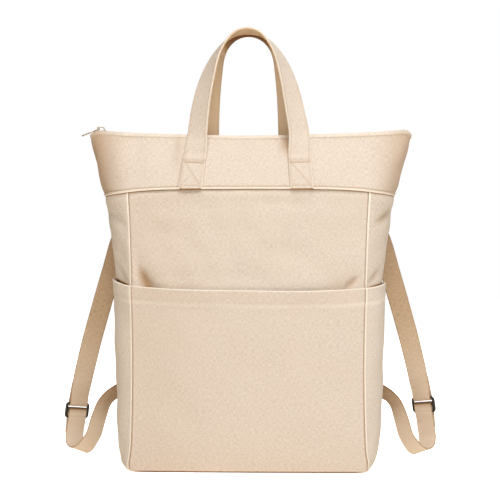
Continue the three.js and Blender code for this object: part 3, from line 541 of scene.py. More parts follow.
def seamRidge(distance):
    # bell beside the seam, where the turned-in edge lifts the cloth
    return panelForm["ridge"] * bell(distance, panelForm["ridgeAt"], panelForm["ridgeWide"])


def seamGroove(distance):
    # bell on the seam itself, where the thread pulls the cloth in
    return panelForm["groove"] * bell(distance, 0, panelForm["grooveWide"])


def cornerLift(distance, z):
    # the lower corners are rounded: the lowest rows rise in a quarter circle towards the corner seams
    near = 1 - np.clip(distance / panelForm["cornerWide"], 0, 1)
    return panelForm["cornerLift"] * (1 - np.sqrt(1 - near * near)) * fade(z, 0, panelForm["cornerHigh"])


def panelColumns(reach, step, inset=bagForm["seamInset"]):
    # places from seam to seam as shares of the reach, closer at the seams
    return spaced(-reach, reach, step, seamFine) / reach * (1 - inset / reach)


def panelRows(step):
    # wide rows behind the pocket, close ones at its rim and under the yoke
    folds, rimLow, rimHigh = (panelBands[name] for name in ("foldsZ", "rimLow", "rimHigh"))
    band, high = yokeSeamZ - panelBands["underYoke"], panelForm["high"]
    return np.unique(np.concatenate([
        spaced(panelForm["low"], folds, 9, (0, 0.4, 1, 2, 4), True, False), spaced(folds, rimLow, step),
        np.arange(rimLow, rimHigh, 0.8), spaced(rimHigh, band, step), np.arange(band, yokeSeamZ + 1, 0.5),
        [high - 4, high]]))


def toSeam(ring, share, gusset=False):
    # distance along the cloth to the nearer corner seam
    return (1 - np.abs(share)) * (ring["seamY"] * panelForm["sideGirth"] if gusset else ring["seamX"])


def underYoke(z):
    # painted shade: a dark line where the panel goes in under the folded edge of the yoke
    return frontShade["yoke"] * fade(yokeSeamZ - z, 0.5, 1.8)


def dentShade(dent, strength, start, most):
    # shade for each millimetre of a hollow past its start, up to the most
    return np.clip(strength * (dent - start), 0, most)


def mouthShade(x, above):
    # over the pocket's rim: a warm band of painted shade, and a thin line of painted highlight, painted dark
    # at the two hollows
    return ((frontShade["band"] + bells(mouthBand, x)) * fade(above, 0, 12)
            + (frontShade["mouth"] + bells(mouthLine, x)) * fade(above, 0.6, 2.4))


def panelHalf(seamGap, aboveFoot):
    # share of the thickness to each side of the middle, rounded off at the corner seams and the lower edge
    return edgeRound(seamGap, 0.5) * edgeRound(aboveFoot, 0.75) / 2


def frontSheet(name, node, folds, seed, step, back=False):
    # front or back wall: the arc moved out by its swells and in by its hollows, seams and the yoke seam
    t, z = np.meshgrid(panelColumns(panelForm["reach"], step), panelRows(step), indexing="ij")
    ring = ringAt(z)
    x = ring["seamX"] * t
    seamGap, under, above = toSeam(ring, t), yokeSeamZ - z, z - frontRim(t)
    dent = hollow(folds, x, z) * smoothStep(seamGap, 0, 15)
    out = (-clothThick / 2 - dent - seamGroove(seamGap) + seamPucker(seamGap, z)
           + ripple(seed, x, z, 28, 110, panelForm["wave"]) * smoothStep(seamGap, 0, 12)
           + bells(frontUnderYoke, under))
    atFoot = np.abs(x[..., None] - footMiddles).min(-1) < footHalf  # the handles' ends stand out further
    # painted shade under the yoke's edge and the handles' feet, along the corner seams and in the deeper
    # hollows
    yokeLine = np.where(atFoot, frontShade["foot"] * fade(under, 0.8, 1.9), underYoke(z))
    crease = (dentShade(dent, *frontShade["dent"])
              + np.maximum(frontShade["seam"] * bell(seamGap, 0.2, 0.9), yokeLine))
    if not back:
        out = out + panelForm["mouthSwell"] * (1 - t * t) * bell(above, -5, 15)
        # painted shade over the pocket's mouth, and more towards the left
        crease = crease + mouthShade(x, above) + frontShade["left"] * smoothStep(-x, *leftShadeRamp)
    middle = frontWall(t, z, out)
    middle[..., 2] += cornerLift(seamGap, z)
    if back:
        middle = mirroredY(middle)
    half = clothThick * panelHalf(seamGap, z - panelForm["low"])
    piece = put(clothShell(name, middle, half, cut(x, z), crease), canvas, "canvas", node)


def sideSheet(name, node, sign, seed, step):
    # gusset: the side arc with a ridge along both seams; painted shade at the pocket's rim and under the
    # yoke, and a painted highlight on the ridges
    columns = panelColumns(panelForm["sideReach"], step, panelForm["sideInset"])
    k, z = np.meshgrid(columns, panelRows(step), indexing="ij")
    ring = ringAt(z)
    y = ring["seamY"] * k
    seamGap, above = toSeam(ring, k, gusset=True), z - sideRim(k, sign)
    dent = hollow(sideFolds, y, z) * smoothStep(seamGap, 1, 8)
    out = (-clothThick / 2 - dent + seamRidge(seamGap) + seamPucker(seamGap, z)
           + ripple(seed, y, z, 24, 80, panelForm["wave"]) * smoothStep(seamGap, 2, 14)
           + bells(sideUnderYoke, yokeSeamZ - z))
    # painted shadow just over the pocket's rim, weaker on the right
    rim = sideShade["rim"] * fade(above, 0.7, 2.0) + sideShade["rimSoft"] * fade(above, 1.5, 6)
    rim = rim * smoothStep(1 - k * k, 0, 0.5) * (1 - sideShade["rimLess"] * (1 + sign))
    ridge = bell(seamGap, **ridgeHighlight) * smoothStep(z, sideShade["ridgeLow"], sideShade["ridgeHigh"])
    crease = np.maximum(underYoke(z), rim) - ridge + dentShade(dent, *sideShade["dent"])
    middle = sideWall(k, z, out, sign)
    middle[..., 2] += cornerLift(0, z)
    if sign < 0:
        middle = middle[::-1]
    half = clothThick * panelHalf(seamGap, z - panelForm["low"])
    uv = cut(k * panelForm["sideReach"], z)
    piece = put(clothShell(name, middle, half, uv, crease), canvas, "canvas", node)


frontSheet("frontPanel", "front_panel", frontFolds, 11, 2.8)
frontSheet("backPanel", "back_panel", backFolds, 12, 3.4, back=True)
sideSheet("sidePanelLeft", "side_panel_left", -1, 13, 2.8)
sideSheet("sidePanelRight", "side_panel_right", 1, 14, 2.8)
print("panels made")


# Pockets: one run of cloth round the front and the sides, with a doubled hem at the rim
rimFine = (0, 0.1, 0.3, 0.6, 1.0, 1.5, 2.1, 3.0, 4.5, 6.5, 9)
# painted shade just below the hem's stitches and painted highlight just above them
hemShading = table("at wide tall", (pocketForm["hem"] + 1.1, 0.8, 0.32), (pocketForm["hem"] - 0.4, 0.7, -0.4))
# painted shading of the pockets: shade along the front's corner seams, the side pockets paler, painted
# highlight on the side ridges and on every rim, painted shadow along the foot with a pale band above it; on
# the front a faint shade over the hem band, more to the left and towards the bottom
pocketShade = dict(seam=0.95, side=-0.15, ridge=-0.8, rim=-0.8, foot=1.75, footPale=-0.15, hem=0.07,
                   left=0.09, low=0.07)


def pocketRim(a, sign):
    # sign 0 is the front pocket, -1 and 1 are the side pockets
    return sideRim(a, sign) if sign else frontRim(a)


def pocketWall(a, z, out, sign):
    # point of the wall behind the pocket, moved outward by out
    return sideWall(a, z, out, sign) if sign else frontWall(a, z, out)


def pocketGape(a, share, sign):
    # the cloth stands off the wall towards the rim, most in the middle; share 0 at the foot to 1 at the rim
    wide = pocketForm["gapeSide"] * (1 - a * a)
    if not sign:
        wide = pocketForm["gapeFront"] * (1 - a * a) ** pocketForm["gapeBow"]
    return wide * smoothStep(share, pocketForm["gapeFrom"], 1)


def pocketShell(name, node, seed, step, sign=0):
    # the wall moved out by the gape, its seams and ripples; the left pocket is fuller at its foot
    front = sign == 0
    reach = panelForm["reach"] if front else panelForm["sideReach"]
    rise = spaced(0, pocketForm["tall"], step * 1.5, rimFine) / pocketForm["tall"]
    a, share = np.meshgrid(panelColumns(reach, step), rise, indexing="ij")
    rimZ, footZ, hem = pocketRim(a, sign), pocketForm["footZ"], pocketForm["hem"]
    z = footZ + (rimZ - footZ) * share
    seamGap = toSeam(ringAt(z), a, gusset=not front)
    under, foot, measure = rimZ - z, z - footZ, a * reach
    thick = clothThick + pocketForm["hemThick"] * fade(under, hem - 1.5, hem + 1.0)
    out = (sewnGap + pocketGape(a, share, sign) + thick / 2 + seamPucker(seamGap, z)
           + (-seamGroove(seamGap) if front else seamRidge(seamGap))
           + ripple(seed, measure, z, 40, 130, pocketForm["wave"]) * smoothStep(seamGap, 0, 14)
           * smoothStep(z, 4, 30) - pocketForm["hemStep"] * bell(under, hem, 1.6))
    if sign < 0:
        out = out + pocketForm["footFull"] * (1 - a * a) * bell(z, 30, 34) * smoothStep(z, 0, 8)
        out = out + pocketForm["cornerFull"] * np.sqrt(1 - a * a) * fade(z, 1, 20)
    wall = pocketWall(a, z, out, sign)
    wall[..., 2] += cornerLift(seamGap if front else 0, z)
    # painted shadow along the foot, a pale painted band just above it, fading at the corner seams
    footLine = pocketShade["foot"] * fade(foot, 1.4, 2.3) + pocketShade["footPale"] * bell(foot, 3.2, 0.8)
    crease = (pocketShade["rim"] * fade(under, 0.6, 1.7) + bells(hemShading, under)
              + footLine * smoothStep(seamGap, 3, 16))
    if front:
        crease = (crease + pocketShade["seam"] * bell(seamGap, 0.3, 1.0)
                  + pocketShade["hem"] * fade(under, hem - 2, hem)
                  + pocketShade["left"] * smoothStep(-measure, *leftShadeRamp)
                  + pocketShade["low"] * fade(z, 5, 70))
    else:
        crease = crease + pocketShade["side"] + pocketShade["ridge"] * bell(seamGap, **ridgeHighlight)
    if sign < 0:
        wall, crease = wall[::-1], crease[::-1]
    half = thick * panelHalf(seamGap, foot) * edgeRound(under, 1.2)
    piece = put(clothShell(name, wall, half, cut(measure, z), crease), canvas, "canvas", node)


pocketShell("pocketFront", "pocket_front", 21, 2.6)
pocketShell("pocketSideLeft", "pocket_side_left", 22, 2.6, -1)
pocketShell("pocketSideRight", "pocket_side_right", 23, 2.6, 1)
print("pockets made")


# Yoke: front and back halves over the top of the panels, with a folded lower edge and a hem at the top
yokeForm = dict(fold=2.9, foldThick=0.8, hem=5.6, hemThick=0.5, lineIn=0.3, endInset=0.2, endWide=60,
                endIn=1.3, cornerRun=143, endRun=62, slope=1.12, topSlope=1.15, wave=0.5)
# painted shading of the yoke: highlight on the folded edge and on the top hem, shade in their stitch lines
# and towards both ends, a little less on the right, and painted shadow by the handles' feet and legs
yokeShade = dict(fold=-0.7, foldLine=1.0, hem=-0.3, hemLine=0.3, end=0.6, endLess=0.08, foot=0.36,
                 leftLeg=0.22, rightLeg=0.638)
yokeFolds = table("x z run long wide deep", (-146, 381, 62, 26, 10, 1.5), (148, 383, -62, 26, 10, 1.3),
                  (-104, 365, 70, 26, 10, 0.9), (96, 389, -50, 22, 9, 1.0), (0, 365, 0, 60, 14, 0.8),
                  (-36, 391, -60, 18, 8, 0.8), (34, 391, 60, 18, 8, 0.9))
yokeFine = (0, 0.1, 0.3, 0.6, 1.0, 1.5, 2.1, 2.8, 3.6, 4.4, 5.4, 6.8)
yokeEndFine = (0, 0.002, 0.006, 0.012, 0.02)
footEdges = (footMiddles[:, None] + np.array([-footHalf, footHalf])).ravel()
# strength of the painted shade by each side of the feet, strong on their left sides
footDark = np.array([1.0, 0.3, 1.0, 0.3])
footLean = 4 / 37  # the feet lean in by 4 on a height of 37


def yokePoint(s, z, out):
    # s from -2 at the left side seam, -1 and 1 at the corners, to 2 at the right side seam
    k = np.clip(np.abs(s) - 2, -1, -yokeForm["endInset"] / yokeForm["endWide"])
    side = sideWall(k, z, out, np.where(s < 0, -1.0, 1.0))
    return np.where((np.abs(s) > 1)[..., None], side, frontWall(np.clip(s, -1, 1), z, out))


def footShade(run, z):
    # thin painted shade along both sides of each foot
    lean = footLean * (z - yokeSeamZ)[..., None] * np.sign(footEdges)
    beside = (footDark * bell(run[..., None] - footEdges + lean, 0, 0.9)).sum(-1)
    return yokeShade["foot"] * beside * fade(z, 378, 392)


def legShade(run, z):
    # painted shadow where the handles stand off the yoke
    return (yokeShade["leftLeg"] * bell(run, -87, 5) * smoothStep(z, 362, 392)
            + yokeShade["rightLeg"] * bell(run, 46, 7) * smoothStep(z, 380, 402))


def yokeShell(name, node, seed, back=False):
    # one half of the band: thicker at its fold and its hem, drawn in at both lines of stitches
    feet = footEdges - np.sign(footEdges) * np.arange(-4, 8, 0.7)[:, None]
    columns = np.unique(np.concatenate([
        spaced(-2, -1, 0.045, yokeEndFine, True, False), spaced(-1, 1, 0.018),
        spaced(1, 2, 0.045, yokeEndFine, False), [0] if back else feet.ravel() / yokeForm["cornerRun"]]))
    s, z = np.meshgrid(columns, spaced(yokeSeamZ, topZ, 2.4, yokeFine), indexing="ij")
    over, under = (z - yokeSeamZ) * yokeForm["slope"], (topZ - z) * yokeForm["topSlope"]
    beyond = np.maximum(np.abs(s) - 1, 0)  # past the corner
    run = np.sign(s) * ((np.abs(s) - beyond) * yokeForm["cornerRun"] + beyond * yokeForm["endRun"])
    fold, hem = yokeForm["fold"], yokeForm["hem"]
    thick = (clothThick + yokeForm["foldThick"] * fade(over, fold - 1.2, fold + 0.8)
             + yokeForm["hemThick"] * fade(under, hem - 1, hem + 1))
    loose = smoothStep(over, 3, 14) * smoothStep(under, 3, 12)  # away from both lines of stitches
    out = (sewnGap + thick / 2 + ripple(seed, run, z, 30, 100, yokeForm["wave"]) * loose
           - yokeForm["endIn"] * smoothStep(np.abs(s), 1.2, 1.7) * fade(over, 0, 9)
           + seamPucker(over, run, seed) + 0.6 * seamPucker(under, run, seed + 1)
           - yokeForm["lineIn"] * (bell(over, fold, 1.0) + bell(under, hem, 1.0)))
    # painted highlight on the fold and the top hem, painted shade in their stitch lines and towards both ends
    crease = (yokeShade["fold"] * fade(over, 1.8, 2.6) + yokeShade["foldLine"] * bell(over, fold + 0.2, 0.8)
              + yokeShade["hem"] * fade(under, 3.5, 5.0) + yokeShade["hemLine"] * bell(under, hem, 0.6)
              + (yokeShade["end"] - yokeShade["endLess"] * np.sign(run)) * smoothStep(np.abs(run), 138, 194))
    if back:
        middle, crease = mirroredY(yokePoint(s, z, out)), crease[::-1]
    else:
        middle = yokePoint(s, z, out - hollow(yokeFolds, run, z) * smoothStep(over, 2, 14))
        crease = crease + legShade(run, z) + footShade(run, z)
    half = (thick / 2 * edgeRound(over, 1.5) * edgeRound(under, 1.0)
            * edgeRound((2 - np.abs(s)) * yokeForm["endWide"], 0.7))
    piece = put(clothShell(name, middle, half, cut(run, z), crease), canvas, "canvas", node)


yokeShell("yokeFront", "yoke_front", 31)
yokeShell("yokeBack", "yoke_back", 33, back=True)
print("yoke made")


# Flat base inside the lower edges
baseForm = dict(thick=1.6, halfWide=100, liftFrom=0.93, liftTo=0.99,
                rings=(1, 0.997, 0.99, 0.975, 0.955, 0.93, 0.85, 0.6, 0.3, 0.004))


def baseShell():
    # rings of the base outline drawn in to the middle, with the rounded corners lifted
    ring = ringAt(panelForm["low"])
    t, k = spaced(-1, 1, 0.05, (0.01, 0.02, 0.03, 0.045, 0.06))[:-1], np.linspace(-1, 1, 17)[:-1]
    front, side = (np.stack([x - nx * (clothThick + sewnGap), y - ny * (clothThick + sewnGap)], -1)
                   for x, y, nx, ny in (onFront(ring, t), onSide(ring, k)))
    lift = [cornerLift(toSeam(ring, t), 0), np.full(len(k), panelForm["cornerLift"])]
    outline = np.concatenate([front, side, -front, -side, front[:1]])
    rise = np.concatenate([*lift, *lift, lift[0][:1]])
    scale = np.array(baseForm["rings"])[None, :, None]
    flat = outline[:, None, :] * scale
    rise = rise[:, None, None] * smoothStep(scale, baseForm["liftFrom"], baseForm["liftTo"])
    middle = np.concatenate([flat, baseForm["thick"] / 2 + rise], -1)
    rounded = edgeRound((1 - scale[..., 0]) * baseForm["halfWide"], 0.8)
    half = np.broadcast_to(baseForm["thick"] / 2 * rounded, flat.shape[:2])
    return clothShell("basePanel", middle[:, ::-1], half[:, ::-1], flat[:, ::-1])


basePanel = put(baseShell(), canvas, "canvas", "base_panel")


# Handles: folded canvas bands, sewn flat at the feet and turned outward up the arch
handleForm = dict(width=28.0, thick=3.0, shift=-2.0, footZ=344.7, leaveZ=383.0, lie=2.3, stitchIn=2.6,
                  tan=0.85, footThin=0.4, footIn=0.5, footRun=46, legOut=2.6, legZ=412, legReach=26,
                  closeUp=1.3)
handleFront = table(
    "x y z turn",
    (62.8, -29.6, 398, 13), (61.6, -23.4, 414, 26), (58.2, -19.4, 445, 35), (53.4, -18.0, 470, 43),
    (47.4, -17.2, 491, 54), (40.4, -16.8, 509, 67), (34.2, -16.5, 520, 75), (26.2, -16.3, 530.4, 83),
    (14.5, -16.2, 539.4, 92), (0, -16.2, 542.6, 97))
handleBack = table(
    "x y z turn",
    (51.4, 29.8, 398, 13), (50.4, 23.6, 414, 26), (48.4, 19.6, 445, 37), (45.2, 18.2, 473, 48),
    (40.4, 17.2, 499, 60), (34.6, 16.8, 516, 73), (26.6, 16.4, 528.4, 83), (14.8, 16.2, 537.2, 92),
    (0, 16.2, 540.2, 97))
footPuff = table("at wide tall", (41.5, 3.6, 2.2), (51, 6, -1.0))  # loose cloth just past the sewn foot
stitchInset = handleForm["width"] / 2 - handleForm["stitchIn"]


def throughPoints(points, share):
    # smooth path through points: a centripetal spline, share 0 to 1 over the points
    ends = np.vstack([2 * points[0] - points[1], points, 2 * points[-1] - points[-2]])
    place = np.clip(share, 0, 1) * (len(points) - 1)
    i = np.minimum(place.astype(int), len(points) - 2)
    w = (place - i)[:, None]
    p0, p1, p2, p3 = (ends[i + n] for n in range(4))
    d0, d1, d2 = (np.sqrt(np.linalg.norm(b - a, axis=1))[:, None] for a, b in ((p0, p1), (p1, p2), (p2, p3)))
    m1 = ((p1 - p0) / d0 - (p2 - p0) / (d0 + d1) + (p2 - p1) / d1) * d1
    m2 = ((p2 - p1) / d1 - (p3 - p1) / (d1 + d2) + (p3 - p2) / d2) * d1
    return p1 + m1 * w + (3 * (p2 - p1) - 2 * m1 - m2) * w**2 + (2 * (p1 - p2) + m1 + m2) * w**3


def handleRoute(rows, footX, leaveX, footTurn, side):
    # the feet lie on the yoke, the other half mirrors the first
    share = np.linspace(0, 1, 4)
    z = handleForm["footZ"] + (handleForm["leaveZ"] - handleForm["footZ"]) * share
    x = footX + (leaveX - footX) * share
    ring = ringAt(z)
    t = x / ring["seamX"]
    y = side * (-onFront(ring, t)[1] + sewnGap + clothThick + handleForm["lie"])
    foot = np.stack([x, y, frontZ(t, z), np.full(4, footTurn)], -1)
    half = np.vstack([foot, np.stack([rows[c] for c in ("x", "y", "z", "turn")], -1)])
    return np.vstack([half * np.array([-1, 1, 1, 1]), half[-2::-1]])


def bandFrame(centre, across):
    # width direction made square to the path, and the face that both give
    along = unit(np.gradient(centre, axis=0))
    across = unit(across - along * (along * across).sum(-1, keepdims=True))
    return across, np.cross(across, along)


def handleStations(side, **plan):
    # close stations on the sewn feet, wider ones over the arch
    route = handleRoute(side=side, **plan)
    dense = np.linspace(0, 1, 2001)
    length = lengthAlong(throughPoints(route[:, :3], dense))
    near, total, foot = np.arange(0, handleForm["footRun"], 0.7), length[-1], handleForm["footRun"]
    at = np.concatenate([near, np.linspace(foot, total - foot, 170), total - near[::-1]])
    share = np.interp(at, length, dense)
    centre = throughPoints(route[:, :3], share) + np.array([handleForm["shift"], 0, 0])
    rightLeg = (side < 0) * (centre[:, 0] > 0)
    legBow = handleForm["legOut"] * bell(centre[:, 2], handleForm["legZ"], handleForm["legReach"])
    centre[:, 0] += legBow * rightLeg
    along = unit(np.gradient(centre, axis=0))
    lean = np.radians(track(np.arange(len(route)), route[:, 3])(share * (len(route) - 1)))[:, None]
    outward = unit(np.stack([-along[:, 2], np.zeros(len(share)), along[:, 0]], -1))
    across, face = bandFrame(centre, outward * np.cos(lean) + np.array([0, -side, 0]) * np.sin(lean))
    across[:, 2] *= smoothStep(np.minimum(at, total - at), 4, 34)  # the feet end level
    return centre, across, face


def bandShell(name, centre, across, face, width, thick, lift, step, shades, edge=1.4, tan=(0.0, 0.0)):
    # flat band: the width direction swept along the centre line and lifted a little off its seat
    w = spaced(-width / 2, width / 2, step, (0, 0.12, 0.35, 0.7, 1.1, 1.6, 2.2, 3.0))[:, None]
    run = lengthAlong(centre)
    middle = centre[None] + across[None] * w[..., None] + (face * lift[:, None])[None]
    half = thick / 2 * edgeRound(width / 2 - np.abs(w), edge) * edgeRound(fromEnds(run), 0.8)[None]
    front, rear = shades(w, run[None])
    return clothShell(name, middle, half, cut(w, run[None]), front, tan, rear)


boxForm = dict(low=5.0, high=36.9, line=0.7, topLine=0.9, deep=0.6, topDark=1.3, faint=0.45)
# painted shading of the handles: highlight on the front one's edges and shade on the back one's, shade along
# the stitches and at the feet's ends, deep shade between the handles and under the arch, a little paler on
# the right of the back one, and on its stitches there
handleShadeForm = dict(edge={-1: -0.28, 1: 0.5}, stitch=0.4, end=1.4, puff=0.16, between=2.3, crown=1.9,
                       crownRight=-0.14, under=0.5, thread=1.8)
archRun, crownRun, threadRun = (165, 192), (180, 206), (165, 190)  # from a foot: shade starts, is full


def handleShade(w, run, side):
    # painted shading: pale folded edges on the front handle and dark ones on the back, a soft shaded line
    # along the edge stitches, a crossed box on each foot, a dark line at each foot's end and a faint one past
    # the box
    low, high, line = boxForm["low"], boxForm["high"], boxForm["line"]
    edge = handleForm["width"] / 2 - np.abs(w)
    fromFoot = fromEnds(run)
    up = (fromFoot - low) / (high - low)
    lean = math.hypot(2 * stitchInset, high - low) / (high - low)
    slant = np.where(run < run[..., -1:] / 2, 1, -1) * stitchInset * (2 * up - 1)
    faint, dark = (bell((w - sign * slant) / lean, 0, line) for sign in (-1, 1))
    cross = np.maximum(boxForm["faint"] * faint, dark) * (up > 0) * (up < 1)
    level = np.maximum(bell(fromFoot, low, line),
                       boxForm["topDark"] * bell(fromFoot, high, boxForm["topLine"]))
    marks = np.maximum(cross, level * (edge > handleForm["stitchIn"] - 0.5))
    return (handleShadeForm["edge"][side] * fade(edge, 0.5, 1.1) + boxForm["deep"] * marks
            + handleShadeForm["stitch"] * bell(edge, handleForm["stitchIn"], 0.6)
            + handleShadeForm["end"] * fade(fromFoot, 0.5, 1.3)
            + handleShadeForm["puff"] * bell(fromFoot, high + 3.0, 1.8))


def handleShades(side, turned, topAcross):
    # painted deep shade at the top of the arch: on the edges between the handles and on both undersides, most
    # on the back one, whose right half is a little paler
    def shades(w, run):
        arch, crown = (smoothStep(fromEnds(run), *stretch) for stretch in (archRun, crownRun))
        between = handleForm["width"] / 2 + side * w * math.copysign(1, topAcross)
        outer = handleShade(w, run, side) + handleShadeForm["between"] * arch * fade(between, 0.4, 1.6)
        inner = outer + handleShadeForm["under"] * arch
        if side > 0:
            right = run > run[..., -1:] / 2
            inner = outer + handleShadeForm["crown"] * crown + handleShadeForm["crownRight"] * right
        return (outer, inner) if turned > 0 else (inner, outer)
    return shades


def makeHandle(name, node, side, **plan):
    # one band, thinner and flatter on its feet; gives back what its stitches need
    centre, across, face = handleStations(side, **plan)
    fromFoot = fromEnds(lengthAlong(centre))
    turned = 1.0 if face[20, 1] * side > 0 else -1.0  # whether the face points off the yoke at the feet
    foot = fade(fromFoot, 8, 34)
    puff = bells(footPuff, fromFoot) - handleForm["footIn"] * foot
    if side > 0:
        puff = puff + handleForm["closeUp"] * smoothStep(fromFoot, 150, 200)  # closes up to the front handle
    thick = handleForm["thick"] * (1 - handleForm["footThin"] * foot)
    shades = handleShades(side, turned, across[len(across) // 2, 1])
    tan = (0.0, handleForm["tan"]) if turned > 0 else (handleForm["tan"], 0.0)
    piece = bandShell(name, centre, across, face, handleForm["width"], thick, turned * puff, 0.8, shades,
                      tan=tan)
    put(piece, canvas, "canvas", node)
    return dict(centre=centre, across=across, face=turned * face, fromFoot=fromFoot, lift=puff, top=thick / 2,
                dark=side > 0)


handles = (makeHandle("handleFront", "handle_front", -1, rows=handleFront, footX=68, leaveX=64, footTurn=5.4),
           makeHandle("handleBack", "handle_back", 1, rows=handleBack, footX=55, leaveX=52.4, footTurn=4.6))
print("handles made")


# Straps: 25 mm webbing from the back yoke seam, through a slide buckle, to the back corner seam
strapForm = dict(width=25.0, thick=1.8, lie=1.6, foldBack=26.0, tail=30.0, loopRadius=2.6, layer=1.05)
# painted shading of the webbing: shade behind the bag, at the buckle's bar and towards the bag's corner,
# painted light on the lower straps and towards the buckle, shaded lines where it is sewn and folded, and
# darker edges
strapShades = dict(edge=0.9, behind=0.1, pale=-0.45, sewn=0.3, lower=-0.75, bar=2.6, nearBar=0.45, fold=0.35,
                   atBag=0.95, buckle=-0.12)
buckleForm = dict(width=34.0, bar=2.5, slot=6.5, corner=3.4, thick=2.6, side=4.0)
sewn = np.nan  # lies on the back panel
strapRows = table(
    "x y z yaw lift",
    (-138.6, sewn, 338.8, 4, 0), (-141.4, sewn, 330, 4, 0), (-148.5, 51.5, 319, 5, 0),
    (-157, 55.5, 306, 2, 0), (-164.5, 57.5, 293, 0, 0), (-170, 58.5, 281, 0, 0),
    (-180.5, 60, 245, 0, 0), (-192.4, 60, 204, 1, 0),
    (-206.6, 59.5, 152.5, 5, 0), (-218.2, 58, 103, 19, 0), (-222.4, 57, 83, 33, 0), (-225.4, 57, 63, 34, 0),
    (-227.6, 57, 44.6, 34, 2), (-228.8, 54.5, 31, 35, 8), (-227, 48, 20.2, 36, 16),
    (-220.8, 39.5, 15.2, 37, 21), (-212.5, 32, 18.4, 40, 20), (-205, 27, 27.5, 44, 16),
    (-199, 25, 37.2, 47, 12), (-193, 28, 58, 50, 10), (-186.4, 34.5, 75.9, 60, 22), (-179.8, 39, 84, 70, 32),
    (-172.3, 44, 89.2, 80, 42), (-162, 50, 93.6, 85, 60), (-152, 53.6, 96.4, 88, 78),
    (-140.6, 54.2, 98, 90, 86), (-130, sewn, 99, 90, 88))
strapIndex = np.arange(len(strapRows["x"]))
strapYaw, strapLift = (track(strapIndex, strapRows[name]) for name in ("yaw", "lift"))
loopWays = ((12, 1.3), (5, 2.2))  # before the bar, and how far the two layers have parted there
behind = np.array([1, -1])  # the same length, on the other side of the path


def strapCourse(reach):
    # the path of one strap, drawn in a little on the right
    x, ring = strapRows["x"] * reach, ringAt(strapRows["z"])
    seated = -onFront(ring, x / ring["seamX"])[1] + strapForm["lie"]
    points = np.stack([x, np.where(np.isnan(strapRows["y"]), seated, strapRows["y"]), strapRows["z"]], -1)
    share = np.linspace(0, 1, 1601)
    line = throughPoints(points, share)
    return dict(points=points, share=share, line=line, length=lengthAlong(line))


def strapAt(course, length, step=1e-4):
    # centre, path direction, width direction and face of the webbing at a length along its path
    share = np.interp(length, course["length"], course["share"])
    centre, before, after = (throughPoints(course["points"], share + s) for s in (0, -step, step))
    along = unit(after - before)
    a, b = (np.radians(curve(share * strapIndex[-1])) for curve in (strapYaw, strapLift))
    across = np.stack([-np.cos(b) * np.cos(a), -np.cos(b) * np.sin(a), np.sin(b)], -1)
    across = unit(across - along * (along * across).sum(-1, keepdims=True))
    return centre, along, across, np.cross(across, along)


def finer(rows, parts):
    # more stations between the rows of a run
    index = np.arange(len(rows))
    at = np.linspace(0, len(rows) - 1, (len(rows) - 1) * parts + 1)
    return np.stack([track(index, rows[:, c])(at) for c in (0, 1)], -1)


def loopRows(middle, sign):
    # half turn round a bar: length and distance in front of the path
    a = np.linspace(0, math.pi, 9)
    return np.stack([middle + sign * (0.5 + strapForm["loopRadius"] * np.sin(a)),
                     sign * strapForm["loopRadius"] * np.cos(a)], -1)


def singleRun(low, high, count):
    # rows of one layer, on the path itself
    return np.stack([np.linspace(low, high, count), np.zeros(count)], -1)


def upperRows(bar):
    # down in front, round the top bar and back up behind itself
    back, radius = bar - strapForm["foldBack"], strapForm["loopRadius"]
    down = np.array([(back, strapForm["layer"]), *((bar - d, part) for d, part in loopWays),
                     (bar - 1.5, radius)])
    return np.vstack([singleRun(0, back - 12, 23), down, loopRows(bar, 1), down[::-1] * behind])


def lowerRows(middle, bottom, total):
    # tail up behind, over the middle bar, down in front of the bottom bar and on to the bag
    free, radius = middle + strapForm["tail"], strapForm["loopRadius"]
    down = np.array([(bottom - 3, radius), (bottom + 1, radius),
                     *((bottom + d, part) for d, part in loopWays[::-1]), (free, strapForm["layer"])])
    return np.vstack([down[::-1] * behind, loopRows(middle, -1), down, singleRun(free + 12, total, 31)])


def strapEdge(w):
    # edges a little darker than the middle
    return strapShades["edge"] * fade(strapForm["width"] / 2 - np.abs(w), 0.3, 1.2)


def upperShades(bar):
    # painted shadow behind the bag, painted light towards the buckle, painted shade in a sewn line where the
    # end is folded back
    def shades(w, run):
        shade = (strapEdge(w) + strapShades["behind"] * fade(run, 90, 150)
                 + strapShades["pale"] * smoothStep(run, 150, bar - 20)
                 + strapShades["sewn"] * bell(run, bar - strapForm["foldBack"] + 4, 0.7))
        return shade, shade
    return shades


def lowerShades(w, run):
    # painted light over the whole strap and a little more near its start, painted shadow at the bar and
    # towards the bag, painted shade in a fold line under the bar
    top, end = strapForm["tail"] + 5, run[..., -1:]
    shade = (strapEdge(w) + strapShades["lower"] + strapShades["bar"] * bell(run, top + 1.5, 2.0)
             + strapShades["nearBar"] * fade(np.abs(run - top), 3, 12)
             + strapShades["fold"] * bell(run, top + 12, 0.8)
             + strapShades["atBag"] * smoothStep(run, end - 105, end - 40)
             + strapShades["buckle"] * fade(run, 75, 110))
    return shade, shade


def strapShell(name, course, rows, mirror, shades):
    # webbing carried along its course, each row a length and a distance in front of it
    rows = finer(rows, 5)
    centre, along, across, face = strapAt(course, rows[:, 0])
    centre = centre + face * rows[:, 1:]
    across, face = bandFrame(centre, across)
    if mirror:
        centre = centre * flipX
        across, face = bandFrame(centre, -across * flipX)
    return bandShell(name, centre, across, face, strapForm["width"], strapForm["thick"],
                     np.zeros(len(centre)), 2.1, shades, 0.8)


